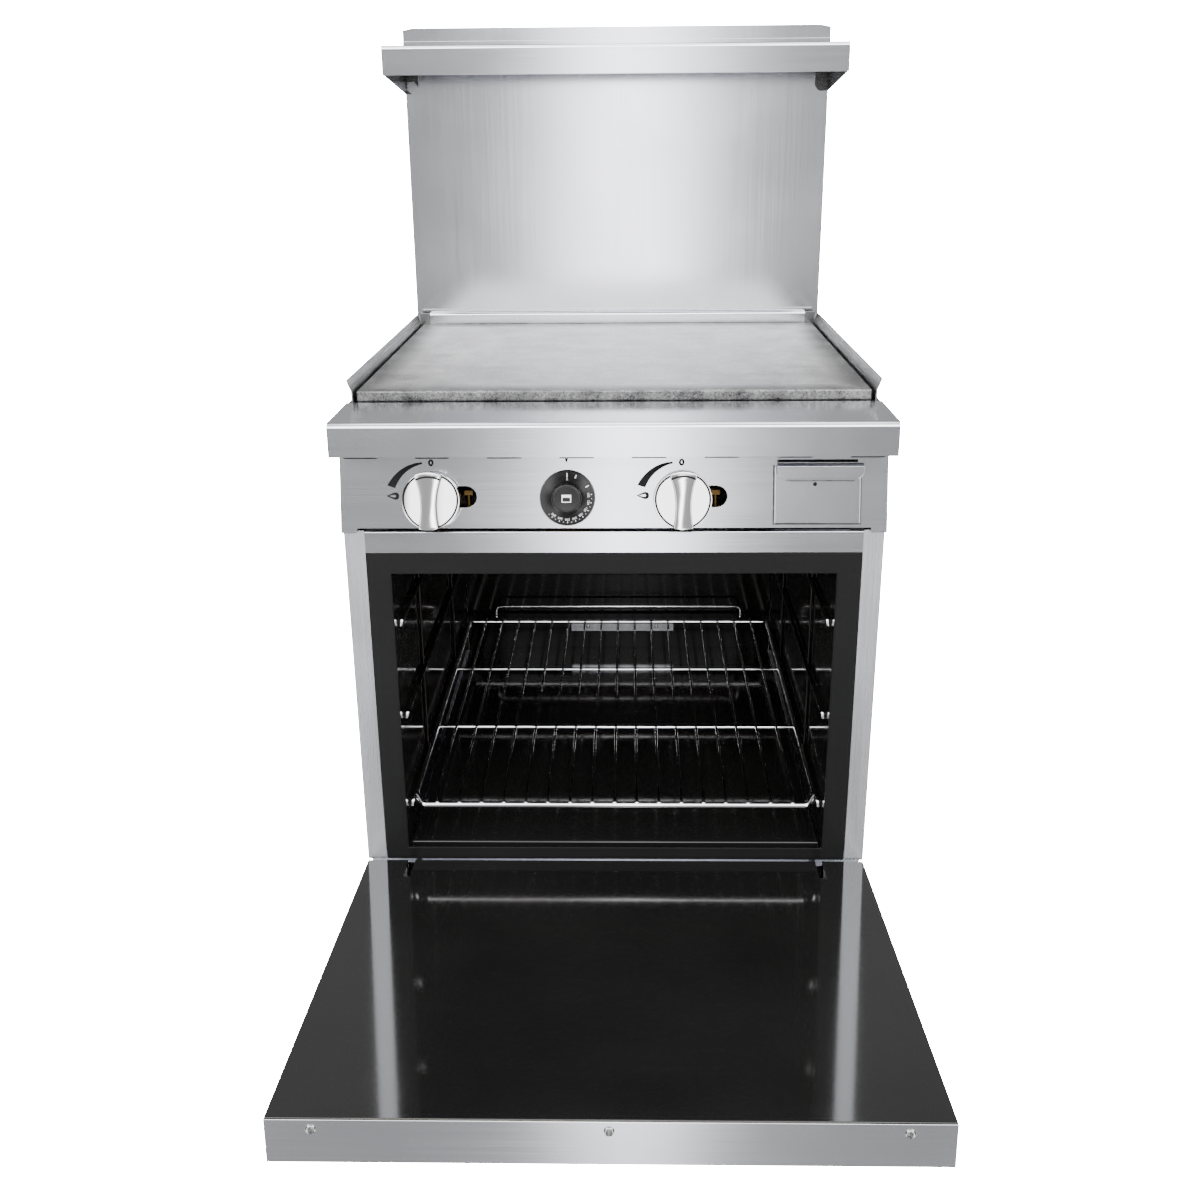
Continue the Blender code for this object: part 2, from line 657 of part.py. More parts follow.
def control_panel():
    """A slanted face with closed ends, open behind, cut for the stems, sights, drawer and vents."""
    rise = math.tan(PANEL_TILT)
    top_y = -PANEL_FORWARD + PANEL_HEIGHT * rise
    outline = [
        (-PANEL_FORWARD, PANEL_BOTTOM_Z), (top_y, PANEL_TOP_Z),
        (PANEL_BACK_Y, PANEL_TOP_Z), (PANEL_BACK_Y, PANEL_BOTTOM_Z),
    ]
    panel = prism("control_panel", outline, "X", -HALF, HALF, STAINLESS)
    slope_wall = SHEET / math.cos(PANEL_TILT)
    low, high = PANEL_BOTTOM_Z + SHEET, PANEL_TOP_Z - SHEET
    hollow = [
        (-PANEL_FORWARD + SHEET * rise + slope_wall, low), (top_y - SHEET * rise + slope_wall, high),
        (PANEL_BACK_Y + CUTTER_REACH, high), (PANEL_BACK_Y + CUTTER_REACH, low),
    ]
    inside = HALF - SHEET
    cut(panel, prism("panel_hollow", hollow, "X", -inside, inside, None, RANGE, cutters))
    notch = HALF - PANEL_TAB
    notch_y = (-CUTTER_REACH, PANEL_BACK_Y + CUTTER_REACH)
    cut(panel, helper_box("panel_notch", (-notch, notch), notch_y, (-CUTTER_REACH, PANEL_NOTCH), PANEL))
    hole_radius = STEM_RADIUS + STEM_HOLE_CLEARANCE
    for i, x in enumerate((*KNOB_X, DIAL_X)):
        up = DIAL_UP if x == DIAL_X else KNOB_UP
        cut(panel, stem_hole(f"stem_hole_{i}", x, up, hole_radius))
    for i, x in enumerate(KNOB_X):
        near, far = x + SIGHT_INNER_OFFSET, x + PILOT_OFFSET
        ends = arc((near, PILOT_UP), SIGHT_RADIUS, 90, 270, 8) + arc((far, PILOT_UP), SIGHT_RADIUS, -90, 90, 8)
        cut(panel, prism(f"sight_{i}", ends, "Y", -CUTTER_REACH, 0.01, None, PANEL, cutters))
    drawer_x = around(DRAWER_X, DRAWER_WIDTH / 2 - DRAWER_FACE_LAP)
    drawer_up = (DRAWER_UP[0] + DRAWER_FACE_LAP, DRAWER_UP[1] + DRAWER_FACE_LAP)
    cut(panel, helper_box("drawer_opening", drawer_x, around(0, 0.01), drawer_up, PANEL))
    bm = bmesh.new()
    vent_pitch = (BODY_WIDTH - 2 * VENT_MARGIN - VENT_LENGTH) / (VENT_COUNT - 1)
    vent_top = (LIP_Z - PANEL_BOTTOM_Z) / math.cos(PANEL_TILT) - VENT_BELOW_LIP
    for i in range(VENT_COUNT):
        x = (i - (VENT_COUNT - 1) / 2) * vent_pitch
        add_box_to(bm, around(x, VENT_LENGTH / 2), around(0, 0.006), (vent_top - VENT_WIDTH, vent_top))
    cut(panel, add("vents", bm, None, PANEL, cutters))


def landing_ledge():
    """Folded over its front on a radius, with a closed cheek at each end."""
    bend_middle = (-LEDGE_FRONT + LEDGE_BEND, LEDGE_TOP_Z - LEDGE_BEND)
    path = [
        (-LEDGE_FRONT + LEDGE_RETURN, LIP_Z), (-LEDGE_FRONT, LIP_Z), *arc(bend_middle, LEDGE_BEND, 180, 90, 5),
        (LEDGE_BACK_Y, LEDGE_TOP_Z), (LEDGE_BACK_Y, LEDGE_TOP_Z - LEDGE_FLANGE),
    ]
    ledge = sheet("landing_ledge", path, "X", -HALF, HALF, LEDGE_SHEET, 1, STAINLESS)
    cheek_back = -PANEL_FORWARD + (LIP_Z - PANEL_BOTTOM_Z) * math.tan(PANEL_TILT) - 0.001
    inset = 0.0002
    shape = [
        (cheek_back, LIP_Z + inset), (-LEDGE_FRONT + inset, LIP_Z + inset),
        *arc(bend_middle, LEDGE_BEND - inset, 180, 90, 5), (cheek_back, LEDGE_TOP_Z - inset),
    ]
    for side in (-1, 1):
        x = span(side, HALF - LEDGE_SHEET, HALF - inset)
        join(ledge, prism(f"cheek_{side}", shape, "X", *x, None, RANGE, cutters))
    for side in (-1, 1):
        x = span(side, HALF - SHEET - 2 * GAP, HALF + CUTTER_REACH)
        z = (LEDGE_TOP_Z - CUTTER_REACH, BODY_TOP_Z + inset)
        cut(ledge, helper_box(f"flange_relief_{side}", x, around(LEDGE_BACK_Y, 0.01), z))


# Griddle

def griddle_splash(word, side):
    """Side wall of the griddle: upright at the plate and leaning out above it, with a post at the back."""
    foot_x, foot_z = PLATE_HALF + SPLASH_GAP, PLATE_TOP_Z - SPLASH_DROP
    path = [
        (side * foot_x, foot_z), (side * foot_x, PLATE_TOP_Z + 0.0005),
        (side * (foot_x + SPLASH_LEAN), SPLASH_TOP_Z),
    ]
    front, back = LEDGE_BACK_Y + SPLASH_SHEET, PLATE_BACK_Y + POST_DEPTH
    wall = sheet(f"griddle_splash_{word}", path, "Y", front, back, SPLASH_SHEET, -side, STAINLESS)
    post_x = span(side, PLATE_HALF - POST_WIDTH, foot_x + SPLASH_SHEET / 2)
    post_z = (foot_z + SPLASH_SHEET, SPLASH_TOP_Z + SPLASH_SHEET)
    post_front = PLATE_BACK_Y + 2 * GAP
    join(wall, helper_box(f"corner_post_{word}", post_x, (post_front, post_front + POST_DEPTH), post_z))


def griddle():
    """The plate with its splashes, the grease trough along its front and the chute down to the drawer."""
    plate_y = (LEDGE_BACK_Y + PLATE_FRONT_GAP, PLATE_BACK_Y)
    plate_low = PLATE_TOP_Z - PLATE_THICKNESS
    plate = box("griddle_plate", (-PLATE_HALF, PLATE_HALF), plate_y, (plate_low, PLATE_TOP_Z), GROUND_STEEL)
    edge = plate.modifiers.new("eased_edge", "BEVEL")
    edge.width = PLATE_EDGE
    edge.segments = 1
    pair_sides(griddle_splash)

    rear_y = BACKGUARD_Y - REAR_SPLASH_SPACE
    bead = arc((rear_y + REAR_BEAD, SPLASH_TOP_Z - 0.002), REAR_BEAD, 180, 0, 6)
    path = [(rear_y, PLATE_TOP_Z - 0.017), *bead, (rear_y + 2 * REAR_BEAD, PLATE_TOP_Z)]
    wide = PLATE_HALF - POST_WIDTH - GAP
    sheet("griddle_splash_rear", path, "X", -wide, wide, SHEET, 1, STAINLESS)

    front, high = LEDGE_BACK_Y + TROUGH_GAP, plate_low - TROUGH_BELOW_PLATE
    back, low = front + TROUGH_WIDTH, high - TROUGH_DEPTH
    path = [(front, high), (front, low), (back, low), (back, high)]
    trough = sheet("grease_trough", path, "X", -PLATE_HALF, PLATE_HALF, SHEET, -1, STAINLESS)
    chute_x, chute_y = around(DRAWER_X, CHUTE_LENGTH / 2), (front + CHUTE_INSET, back - CHUTE_INSET)
    cut(trough, helper_box("trough_outlet", chute_x, chute_y, around(low)))
    for side in (-1, 1):
        end_x = span(side, PLATE_HALF - 2 * SHEET, PLATE_HALF - GAP)
        end_y, end_z = (front + GAP, back - GAP), (low + GAP, high - GAP)
        join(trough, helper_box(f"trough_end_{side}", end_x, end_y, end_z))
    chute_z = (DRAWER_TOP_Z + DRAWER_TRAVEL_ROOM, low - GAP)
    chute = box("grease_chute", chute_x, chute_y, chute_z, STAINLESS)
    bore_x, bore_y = inside_of(chute_x, CHUTE_SHEET), inside_of(chute_y, CHUTE_SHEET)
    cut(chute, helper_box("chute_bore", bore_x, bore_y, (chute_z[0] - GAP, chute_z[1] + GAP)))


DRAWER_FLOOR_UP = DRAWER_UP[0] + 0.006
DRAWER_RIM_UP = DRAWER_UP[1] - 0.009
DRAWER_TOP_Z = PANEL_BOTTOM_Z + DRAWER_RIM_UP * math.cos(PANEL_TILT)


def grease_drawer():
    """An open tray behind a face on the panel's slant, with a folded grip along the face's top."""
    low = PANEL_BOTTOM_Z + DRAWER_FLOOR_UP * math.cos(PANEL_TILT)
    x = around(DRAWER_X, DRAWER_WIDTH / 2 - DRAWER_FACE_LAP - DRAWER_SIDE_GAP)
    y = (DRAWER_FRONT_Y, DRAWER_FRONT_Y + DRAWER_LENGTH)
    tray = box("grease_drawer", x, y, (low, DRAWER_TOP_Z), STAINLESS)
    inner_x, inner_y = inside_of(x, SHEET), inside_of(y, SHEET)
    cut(tray, helper_box("drawer_well", inner_x, inner_y, (low + SHEET, DRAWER_TOP_Z + SHEET)))
    neck_y = (-DRAWER_PROUD / 2, DRAWER_FRONT_Y + CUTTER_REACH)
    neck = helper_box("drawer_neck", x, neck_y, (DRAWER_FLOOR_UP, DRAWER_RIM_UP - SHEET), PANEL)
    limit_x, limit_z = (x[0] - SHEET, x[1] + SHEET), (low - CUTTER_REACH, DRAWER_TOP_Z + CUTTER_REACH)
    limit_y = (DRAWER_FRONT_Y + SHEET * 0.75, DRAWER_FRONT_Y + 2 * CUTTER_REACH)
    cut(neck, helper_box("neck_limit", limit_x, limit_y, limit_z))
    join(tray, neck)
    face_x = around(DRAWER_X, DRAWER_WIDTH / 2)
    join(tray, helper_box("drawer_face", face_x, (-DRAWER_PROUD, -GAP), DRAWER_UP, PANEL))
    top = DRAWER_UP[1]
    grip_x = (face_x[0] + 0.0020, face_x[1] + 0.0028)
    path = [(-0.001, top - 0.0015), (-GRIP_REACH + 0.001, top - 0.0035), (-GRIP_REACH, top - GRIP_DROP)]
    join(tray, sheet("drawer_grip", path, "X", *grip_x, SHEET, -1, None, PANEL, cutters))
    hole_x = DRAWER_X - DRAWER_PROUD
    ends = [(hole_x, -CUTTER_REACH, PULL_HOLE_UP), (hole_x, 0, PULL_HOLE_UP)]
    cut(tray, rod("drawer_hole", *ends, PULL_HOLE_RADIUS, None, 12, PANEL, cutters))


# Gas


def valve(name, x, up, body_size):
    """A valve body behind the panel with its stem standing out through the hole."""
    width, depth, height = body_size
    body_y = (VALVE_BACK, VALVE_BACK + depth)
    body = box(name, around(x, width / 2), body_y, around(up, height / 2), BRASS, PANEL)
    ends = [(x, VALVE_BACK + STEM_RADIUS, up), (x, -STEM_OUT, up)]
    join(body, rod(f"{name}_stem", *ends, STEM_RADIUS, None, 16, PANEL, cutters))


def pilot(name, x):
    """A brass pilot: a tube with a hood over its tip, seen through the sight."""
    ends = [(x, PILOT_BACK, PILOT_UP - 0.018), (x, PILOT_BACK, PILOT_UP + 0.004)]
    body = rod(name, *ends, PILOT_RADIUS, BRASS, 12, PANEL)
    hood_z = (PILOT_UP + 0.001, PILOT_UP + 0.0065)
    join(body, helper_box(f"{name}_hood", around(x, 0.005), around(PILOT_BACK, 0.005), hood_z, PANEL))


def gas_parts():
    for word, x in zip(("left", "right"), KNOB_X):
        valve(f"griddle_valve_{word}", x, KNOB_UP, VALVE_BODY)
        pilot(f"griddle_pilot_{word}", x + PILOT_OFFSET)
    valve("oven_thermostat", DIAL_X, DIAL_UP, THERMOSTAT_BODY)

    bend = 1.5 * PIPE_RADIUS
    path = [
        (KNOB_X[1] + bend, MANIFOLD_Y, MANIFOLD_Z),
        *((x, y, MANIFOLD_Z) for x, y in arc((INLET_X + bend, MANIFOLD_Y + bend), bend, 270, 180, 3)),
        (INLET_X, BODY_DEPTH, MANIFOLD_Z),
    ]
    tube("gas_manifold", path, PIPE_RADIUS, CAST_IRON)

    burner_z = PLATE_TOP_Z - BURNER_BELOW_PLATE
    for word, side, x in zip(("left", "right"), (-1, 1), KNOB_X):
        burner_x, mouth_y, mouth_z = side * BODY_WIDTH / 4, MANIFOLD_Y + 0.023, burner_z - BURNER_FALL
        path = [
            (x, mouth_y, mouth_z), (x, mouth_y + 0.020, mouth_z),
            (burner_x, mouth_y + 0.080, burner_z), (burner_x, BACKGUARD_Y - BURNER_END_SPACE, burner_z),
        ]
        tube(f"griddle_burner_{word}", path, BURNER_RADIUS, CAST_IRON)
    low = LEG_HEIGHT + OVEN_BURNER_UP
    path = [(0, OVEN_BURNER_FRONT_Y, low), (0, OVEN_DEPTH - OVEN_BURNER_END_SPACE, low)]
    tube("oven_burner", path, OVEN_BURNER_RADIUS, CAST_IRON)


def stem_bore():
    """The end of a control's profile: a blind bore up its middle."""
    bore = STEM_RADIUS + STEM_CLEARANCE
    return [(bore, CONTROL_LIFT), (bore, STEM_BORE_DEPTH), (0, STEM_BORE_DEPTH)]


def knob(word, x):
    """A chrome knob: a round base with a waisted bar across it, wider at its top, on a bore for the stem."""
    axis = empty(f"knob_{word}_axis", (x, 0, KNOB_UP), (0, 0, 0), PANEL)
    r, crown = KNOB_RADIUS, KNOB_BASE_HEIGHT
    profile = [
        (0, crown), (r * 0.80, crown - 0.001), (r * 0.93, crown - 0.003), (r * 0.985, crown - 0.007),
        (r, crown / 2), (r, CONTROL_LIFT + 0.001), (r - 0.001, CONTROL_LIFT), *stem_bore(),
    ]
    base = turned(f"knob_{word}", profile, 32, CHROME, (0, 0, 0), (math.pi / 2, 0, 0), axis)
    reach, steps = r * 0.975, 12
    right, left = [], []
    for i in range(steps + 1):
        up = -reach + 2 * reach * i / steps
        above = up > GRIP_WAIST_UP
        end, flare = (reach, GRIP_TOP) if above else (-reach, GRIP_FOOT)
        flared = GRIP_WAIST + (flare - GRIP_WAIST) * ((up - GRIP_WAIST_UP) / (end - GRIP_WAIST_UP)) ** 2
        wide = min(flared, math.sqrt(r * r - up * up))
        right.append((wide, up))
        left.append((-wide, up))
    foot = STEM_BORE_DEPTH + 0.0005
    grip = prism(f"grip_{word}", right + left[::-1], "Y", -KNOB_HEIGHT, -foot, None, axis, cutters)
    join(base, grip)


def oven_dial():
    """A black dial: a broad skirt that carries the scale and a round hub to grip."""
    axis = empty("oven_dial_axis", (DIAL_X, 0, DIAL_UP), (0, 0, 0), PANEL)
    r, hub, top = DIAL_RADIUS, DIAL_HUB_RADIUS, DIAL_HEIGHT
    profile = [
        (0, top), (hub - 0.0020, top), (hub - 0.0004, top - 0.0015), (hub, top - 0.0040),
        (hub + 0.0010, CONTROL_LIFT + 0.0085), (r - 0.0030, CONTROL_LIFT + 0.0055),
        (r, CONTROL_LIFT + 0.0030), (r, CONTROL_LIFT), *stem_bore(),
    ]
    turned("oven_dial", profile, 32, BLACK_PLASTIC, (0, 0, 0), (math.pi / 2, 0, 0), axis)


# Backguard and shelf


def backguard():
    """A front sheet folded back as a cap over a U-shaped back, with the flue's outlet through the cap."""
    chamfer_x, chamfer_z = CORNER_CHAMFER
    bottom = LEDGE_TOP_Z - GAP
    outline = [
        (-HALF, bottom), (-HALF, BACKGUARD_TOP_Z - chamfer_z), (-HALF + chamfer_x, BACKGUARD_TOP_Z),
        (HALF - chamfer_x, BACKGUARD_TOP_Z), (HALF, BACKGUARD_TOP_Z - chamfer_z), (HALF, bottom),
    ]
    front = prism("backguard_front", outline, "Y", BACKGUARD_Y, BACKGUARD_Y + SHEET, STAINLESS)
    inset = 0.0002
    cap_z = (BACKGUARD_TOP_Z - SHEET - inset, BACKGUARD_TOP_Z - inset)
    cap_half = HALF - chamfer_x - inset
    cap_y = (BACKGUARD_Y + SHEET / 2, BODY_DEPTH - SHEET - GAP)
    cap = helper_box("top_cap", (-cap_half, cap_half), cap_y, cap_z)
    outlet_half = FLUE_HALF - OUTLET_MARGIN
    outlet_y = inside_of(FLUE_Y, OUTLET_MARGIN)
    cut(cap, helper_box("flue_outlet", (-outlet_half, outlet_half), outlet_y, around(cap_z[0])))
    hem_low = SPLASH_TOP_Z + HEM_ABOVE_SPLASH
    hem_y = (BACKGUARD_Y - HEM_PROUD, BACKGUARD_Y + SHEET / 2)
    hem = helper_box("hem", (-PLATE_HALF, PLATE_HALF), hem_y, (hem_low, hem_low + HEM_HEIGHT))
    join(front, cap, hem)
    front_y = BACKGUARD_Y + SHEET + GAP
    path = [(-HALF, front_y), (-HALF, BODY_DEPTH), (HALF, BODY_DEPTH), (HALF, front_y)]
    sheet("backguard_back", path, "Z", bottom, cap_z[0] - GAP, SHEET, 1, STAINLESS)


def flue():
    """The duct that carries the oven's flue gases up inside the backguard to its top."""
    x, z = (-FLUE_HALF, FLUE_HALF), (OVEN_TOP_Z - FLUE_BELOW_OVEN_TOP, BACKGUARD_TOP_Z - FLUE_BELOW_CAP)
    duct = box("flue_duct", x, FLUE_Y, z, GALVANISED)
    bore_z = (z[0] - CUTTER_REACH, z[1] + CUTTER_REACH)
    cut(duct, helper_box("duct_bore", inside_of(x, FLUE_SHEET), inside_of(FLUE_Y, FLUE_SHEET), bore_z))


def high_shelf():
    """A flat shelf with a rolled front lip and an upstand that lies on the backguard."""
    top, front = SHELF_TOP_Z, SHELF_FRONT_Y
    lip_z = top - SHELF_LIP
    bend = arc((front + SHELF_BEND, top - SHELF_BEND), SHELF_BEND, 180, 90, 4)
    rear = BACKGUARD_Y - GAP - SHEET
    path = [(front + SHELF_RETURN, lip_z), (front, lip_z), *bend, (rear, top), (rear, top + SHELF_UPSTAND)]
    sheet("high_shelf", path, "X", -HALF, HALF, SHEET, 1, STAINLESS)


def shelf_bracket(word, side):
    """A tapered gusset under the shelf's end with a flange that lies on the backguard."""
    top = SHELF_TOP_Z - SHEET - GAP
    lip_z = SHELF_TOP_Z - SHELF_LIP
    front, rear = SHELF_FRONT_Y + SHEET + GAP, BACKGUARD_Y - GAP
    fall = lip_z - BRACKET_FALL
    outline = [
        (front, top - SHELF_BEND), (front + SHELF_BEND, top), (rear, top), (rear, fall),
        (SHELF_FRONT_Y + SHELF_RETURN + 2 * GAP, lip_z), (front + SHELF_RETURN - 2 * GAP, lip_z + 0.002),
        (front, lip_z + 0.002),
    ]
    gusset = prism(f"shelf_bracket_{word}", outline, "X", *span(side, HALF - SHEET, HALF), STAINLESS)
    outer, reach, corner = HALF - GAP, HALF - BRACKET_FLANGE, BRACKET_CORNER
    flange = [
        (side * outer, top - GAP), (side * reach, top - GAP),
        *arc((side * (reach + corner), fall + corner), corner, 180 if side > 0 else 0, 270, 4),
        (side * outer, fall + 2 * GAP),
    ]
    flange_y = (rear - SHEET, rear - GAP)
    join(gusset, prism(f"bracket_flange_{word}", flange, "Y", *flange_y, None, group=cutters))


# Door, modelled shut: the pivot is its origin, +Y points into the oven


def hinge_slot(name, side):
    x = around(side * HINGE_X, HINGE_PLATE / 2 + HINGE_SLOT_ROOM / 2)
    y = (-DOOR_PIVOT_INSET + SHEET + GAP / 3, DOOR_INNER + CUTTER_REACH)
    return helper_box(name, x, y, (-DOOR_HEEL - CUTTER_REACH, HINGE_LUG + HINGE_SLOT_ROOM), DOOR)


def door():
    """A stainless tray, its enamelled inner panel, the wool between them, a bar handle and the hinge arms."""
    z = (-DOOR_HEEL, DOOR_TOP)
    outer_y, inner_y = -DOOR_PIVOT_INSET, DOOR_INNER
    shell_back = inner_y - DOOR_PANEL_SHEET - GAP
    shell = box("door_shell", (-HALF, HALF), (outer_y, shell_back), z, STAINLESS, DOOR)
    well_x, well_z = inside_of((-HALF, HALF), SHEET), inside_of(z, SHEET)
    cut(shell, helper_box("door_well", well_x, (outer_y + SHEET, inner_y + CUTTER_REACH), well_z, DOOR))
    panel_x, panel_z = inside_of((-HALF, HALF), DOOR_PANEL_MARGIN), inside_of(z, DOOR_PANEL_MARGIN)
    inner = box("door_inner_panel", panel_x, (inner_y - DOOR_PANEL_SHEET, inner_y), panel_z, ENAMEL, DOOR)
    for side in (-1, 1):
        cut(shell, hinge_slot(f"shell_slot_{side}", side))
        cut(inner, hinge_slot(f"inner_slot_{side}", side))
    wool_x = inside_of((-HINGE_X, HINGE_X), HINGE_PLATE + 0.017)
    wool_y, wool_z = (outer_y + SHEET + GAP, shell_back), inside_of(z, DOOR_WOOL_MARGIN)
    box("door_insulation", wool_x, wool_y, wool_z, MINERAL_WOOL, DOOR)

    bar_y, bar_z = outer_y - HANDLE_STANDOFF, DOOR_TOP - HANDLE_BELOW_TOP
    half = HANDLE_LENGTH / 2
    bar = rod("door_handle", (-half, bar_y, bar_z), (half, bar_y, bar_z), HANDLE_RADIUS, STAINLESS, 20, DOOR)
    bm = bmesh.new()
    for x in (-half + HANDLE_POST_INSET, half - HANDLE_POST_INSET):
        add_rod_to(bm, (x, bar_y, bar_z), (x, outer_y - GAP, bar_z), HANDLE_POST_RADIUS, 14)
    join(bar, add("handle_posts", bm, None, DOOR, cutters))

    def arm(word, side):
        """The door's half of a hinge: a plate beside the bracket, bored for its pin."""
        near = HINGE_X + HINGE_PLATE / 2 + HINGE_ARM_GAP
        x, y = span(side, near, near + HINGE_ARM_SHEET), (-HINGE_LUG, shell_back - 0.001)
        plate = box(f"door_hinge_{word}", x, y, HINGE_ARM_Z, GALVANISED, DOOR)
        ends = [(end, 0, 0) for end in around(side * HINGE_X)]
        bore_radius = HINGE_PIN + HINGE_PIN_CLEARANCE
        cut(plate, rod(f"hinge_bore_{word}", *ends, bore_radius, None, 16, DOOR, cutters))

    pair_sides(arm)


def hinge_bracket(word, side):
    """The body's half of a hinge: a flat arm standing out through the kick plate, with the pin in its nose."""
    middle, back = side * HINGE_X, KICK_Y + HINGE_REACH
    nose = arc((PIVOT_Y, PIVOT_Z), HINGE_LUG, 270, 90, 8)
    outline = [*nose, (back, PIVOT_Z + HINGE_LUG), (back, PIVOT_Z - HINGE_LUG)]
    plate = prism(f"hinge_bracket_{word}", outline, "X", *around(middle, HINGE_PLATE / 2), GALVANISED)
    pin_length = HINGE_PLATE / 2 + HINGE_ARM_GAP + HINGE_ARM_SHEET + 0.002
    ends = [(middle, PIVOT_Y, PIVOT_Z), (middle + side * pin_length, PIVOT_Y, PIVOT_Z)]
    pin = rod(f"hinge_pin_{word}", *ends, HINGE_PIN, None, 16, group=cutters)
    foot_y = (KICK_Y + KICK_CLEARANCE, back - 0.001)
    foot = helper_box(f"hinge_foot_{word}", around(middle, 0.012), foot_y, around(PIVOT_Z - HINGE_LUG, 0.002))
    join(plate, pin, foot)


# Legs


def leg(name, x, y):
    """A turned leg under a bolted plate, and the foot that screws out of it."""
    top, plate_low, low = LEG_HEIGHT, LEG_HEIGHT - LEG_PLATE_SHEET, FOOT_HEIGHT + GAP
    bore, depth = FOOT_STEM + FOOT_STEM_CLEARANCE, FOOT_HEIGHT + FOOT_SOCKET
    profile = [
        (0, top), (LEG_PLATE_RADIUS, top), (LEG_PLATE_RADIUS, plate_low), (LEG_RADIUS, plate_low),
        (LEG_RADIUS, low + 0.004), (LEG_RADIUS - 0.002, low), (bore, low), (bore, depth), (0, depth),
    ]
    turned(f"leg_{name}", profile, 20, STAINLESS, (x, y, 0))
    stem_top, waist = depth - 0.003, FOOT_HEIGHT * 2 / 3
    profile = [
        (0, stem_top), (FOOT_STEM, stem_top), (FOOT_STEM, FOOT_HEIGHT), (FOOT_RADIUS, FOOT_HEIGHT),
        (FOOT_RADIUS, waist), (FOOT_RADIUS * 0.80, 0.006), (FOOT_RADIUS * 0.70, 0), (0, 0),
    ]
    axis = empty(f"foot_{name}_axis", (x, y, 0), (0, 0, 0), RANGE)
    turned(f"foot_{name}", profile, 20, STAINLESS, (0, 0, 0), (0, 0, 0), axis)


casing()
header()
oven()
pair_sides(rack_guide)
oven_rack()
control_panel()
landing_ledge()
griddle()
grease_drawer()
gas_parts()
for word, x in zip(("left", "right"), KNOB_X):
    knob(word, x)
oven_dial()
backguard()
flue()
high_shelf()
pair_sides(shelf_bracket)
door()
pair_sides(hinge_bracket)
for end, y in (("front", KICK_Y + LEG_INSET), ("rear", BODY_DEPTH - LEG_INSET)):
    leg(f"{end}_left", -HALF + LEG_INSET, y)
    leg(f"{end}_right", HALF - LEG_INSET, y)
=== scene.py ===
"""Looks of a commercial gas range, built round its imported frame: a griddle over an oven, its door open."""

import json
import math

import bmesh
import bpy
from mathutils import Matrix, Vector


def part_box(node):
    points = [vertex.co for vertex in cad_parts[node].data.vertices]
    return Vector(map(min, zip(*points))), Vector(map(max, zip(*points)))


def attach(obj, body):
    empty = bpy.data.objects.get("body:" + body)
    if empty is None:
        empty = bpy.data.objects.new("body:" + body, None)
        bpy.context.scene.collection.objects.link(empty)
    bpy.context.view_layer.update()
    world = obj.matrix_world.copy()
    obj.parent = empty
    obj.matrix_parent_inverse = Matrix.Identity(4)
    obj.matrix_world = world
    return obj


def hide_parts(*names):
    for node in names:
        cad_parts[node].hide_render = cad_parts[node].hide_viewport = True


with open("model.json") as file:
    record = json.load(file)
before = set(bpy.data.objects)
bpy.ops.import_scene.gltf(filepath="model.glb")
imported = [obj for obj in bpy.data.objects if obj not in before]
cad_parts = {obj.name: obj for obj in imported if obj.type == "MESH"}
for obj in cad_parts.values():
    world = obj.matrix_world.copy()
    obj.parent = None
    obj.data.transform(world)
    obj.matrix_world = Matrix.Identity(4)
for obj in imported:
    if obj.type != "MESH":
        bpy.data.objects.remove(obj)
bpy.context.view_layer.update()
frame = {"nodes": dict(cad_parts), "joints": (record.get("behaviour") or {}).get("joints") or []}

# Camera. It stands in front of the range at head height, a little right of the middle, and looks down
# at the open door.
CAMERA_PLACE = (0.0173, -1.5504, 1.2310)
CAMERA_YAW, CAMERA_PITCH, CAMERA_ROLL = 1.306, -19.84, -0.478
camera = bpy.data.objects.new("camera", bpy.data.cameras.new("camera"))
bpy.context.scene.collection.objects.link(camera)
camera.data.lens = 39.85
camera.data.sensor_width = 36
camera.matrix_world = (
    Matrix.Translation(CAMERA_PLACE)
    @ Matrix.Rotation(math.radians(CAMERA_YAW), 4, "Z")
    @ Matrix.Rotation(math.radians(90 + CAMERA_PITCH), 4, "X")
    @ Matrix.Rotation(math.radians(CAMERA_ROLL), 4, "Z")
)
bpy.context.scene.camera = camera

# Studio. A white floor and surround. Reflections see a lamp behind the camera, brightest in its middle,
# over a surround that falls off to grey. Each side has a bright strip ending in a black flag, which
# gives bright metal its dark edges.
BACKDROP_GLOW = 60
FLOOR_GLOW = 60
STRIP_LIGHT = (
    (0.00, 3.0), (0.02, 2.4), (0.05, 0.85), (0.08, 0.50), (0.20, 0.44), (0.32, 0.52),
    (0.44, 4.20), (0.70, 4.20), (0.77, 0.60), (0.80, 0.02), (0.95, 0.02), (0.98, 0.40),
)
BRIGHT_ABOVE = ((0.34, 0.0), (0.44, 8.0), (0.72, 8.0), (0.88, 0.8))
LAMP_ACROSS = ((0.00, 1.0), (0.025, 0.8), (0.055, 0.15), (0.08, 0.0))
LAMP_UP = ((0.22, 0.0), (0.30, 4.9), (0.60, 4.9), (0.66, 0.0))
world = bpy.data.worlds.new("studio")
bpy.context.scene.world = world
world.use_nodes = True
sky = world.node_tree


def add_node(tree, kind, sockets=None, **settings):
    """A shader node with its settings made and its sockets set or linked."""
    made = tree.nodes.new(kind)
    for key, value in settings.items():
        setattr(made, key, value)
    for key, value in (sockets or {}).items():
        if isinstance(value, bpy.types.NodeSocket):
            tree.links.new(value, made.inputs[key])
        else:
            made.inputs[key].default_value = value
    return made


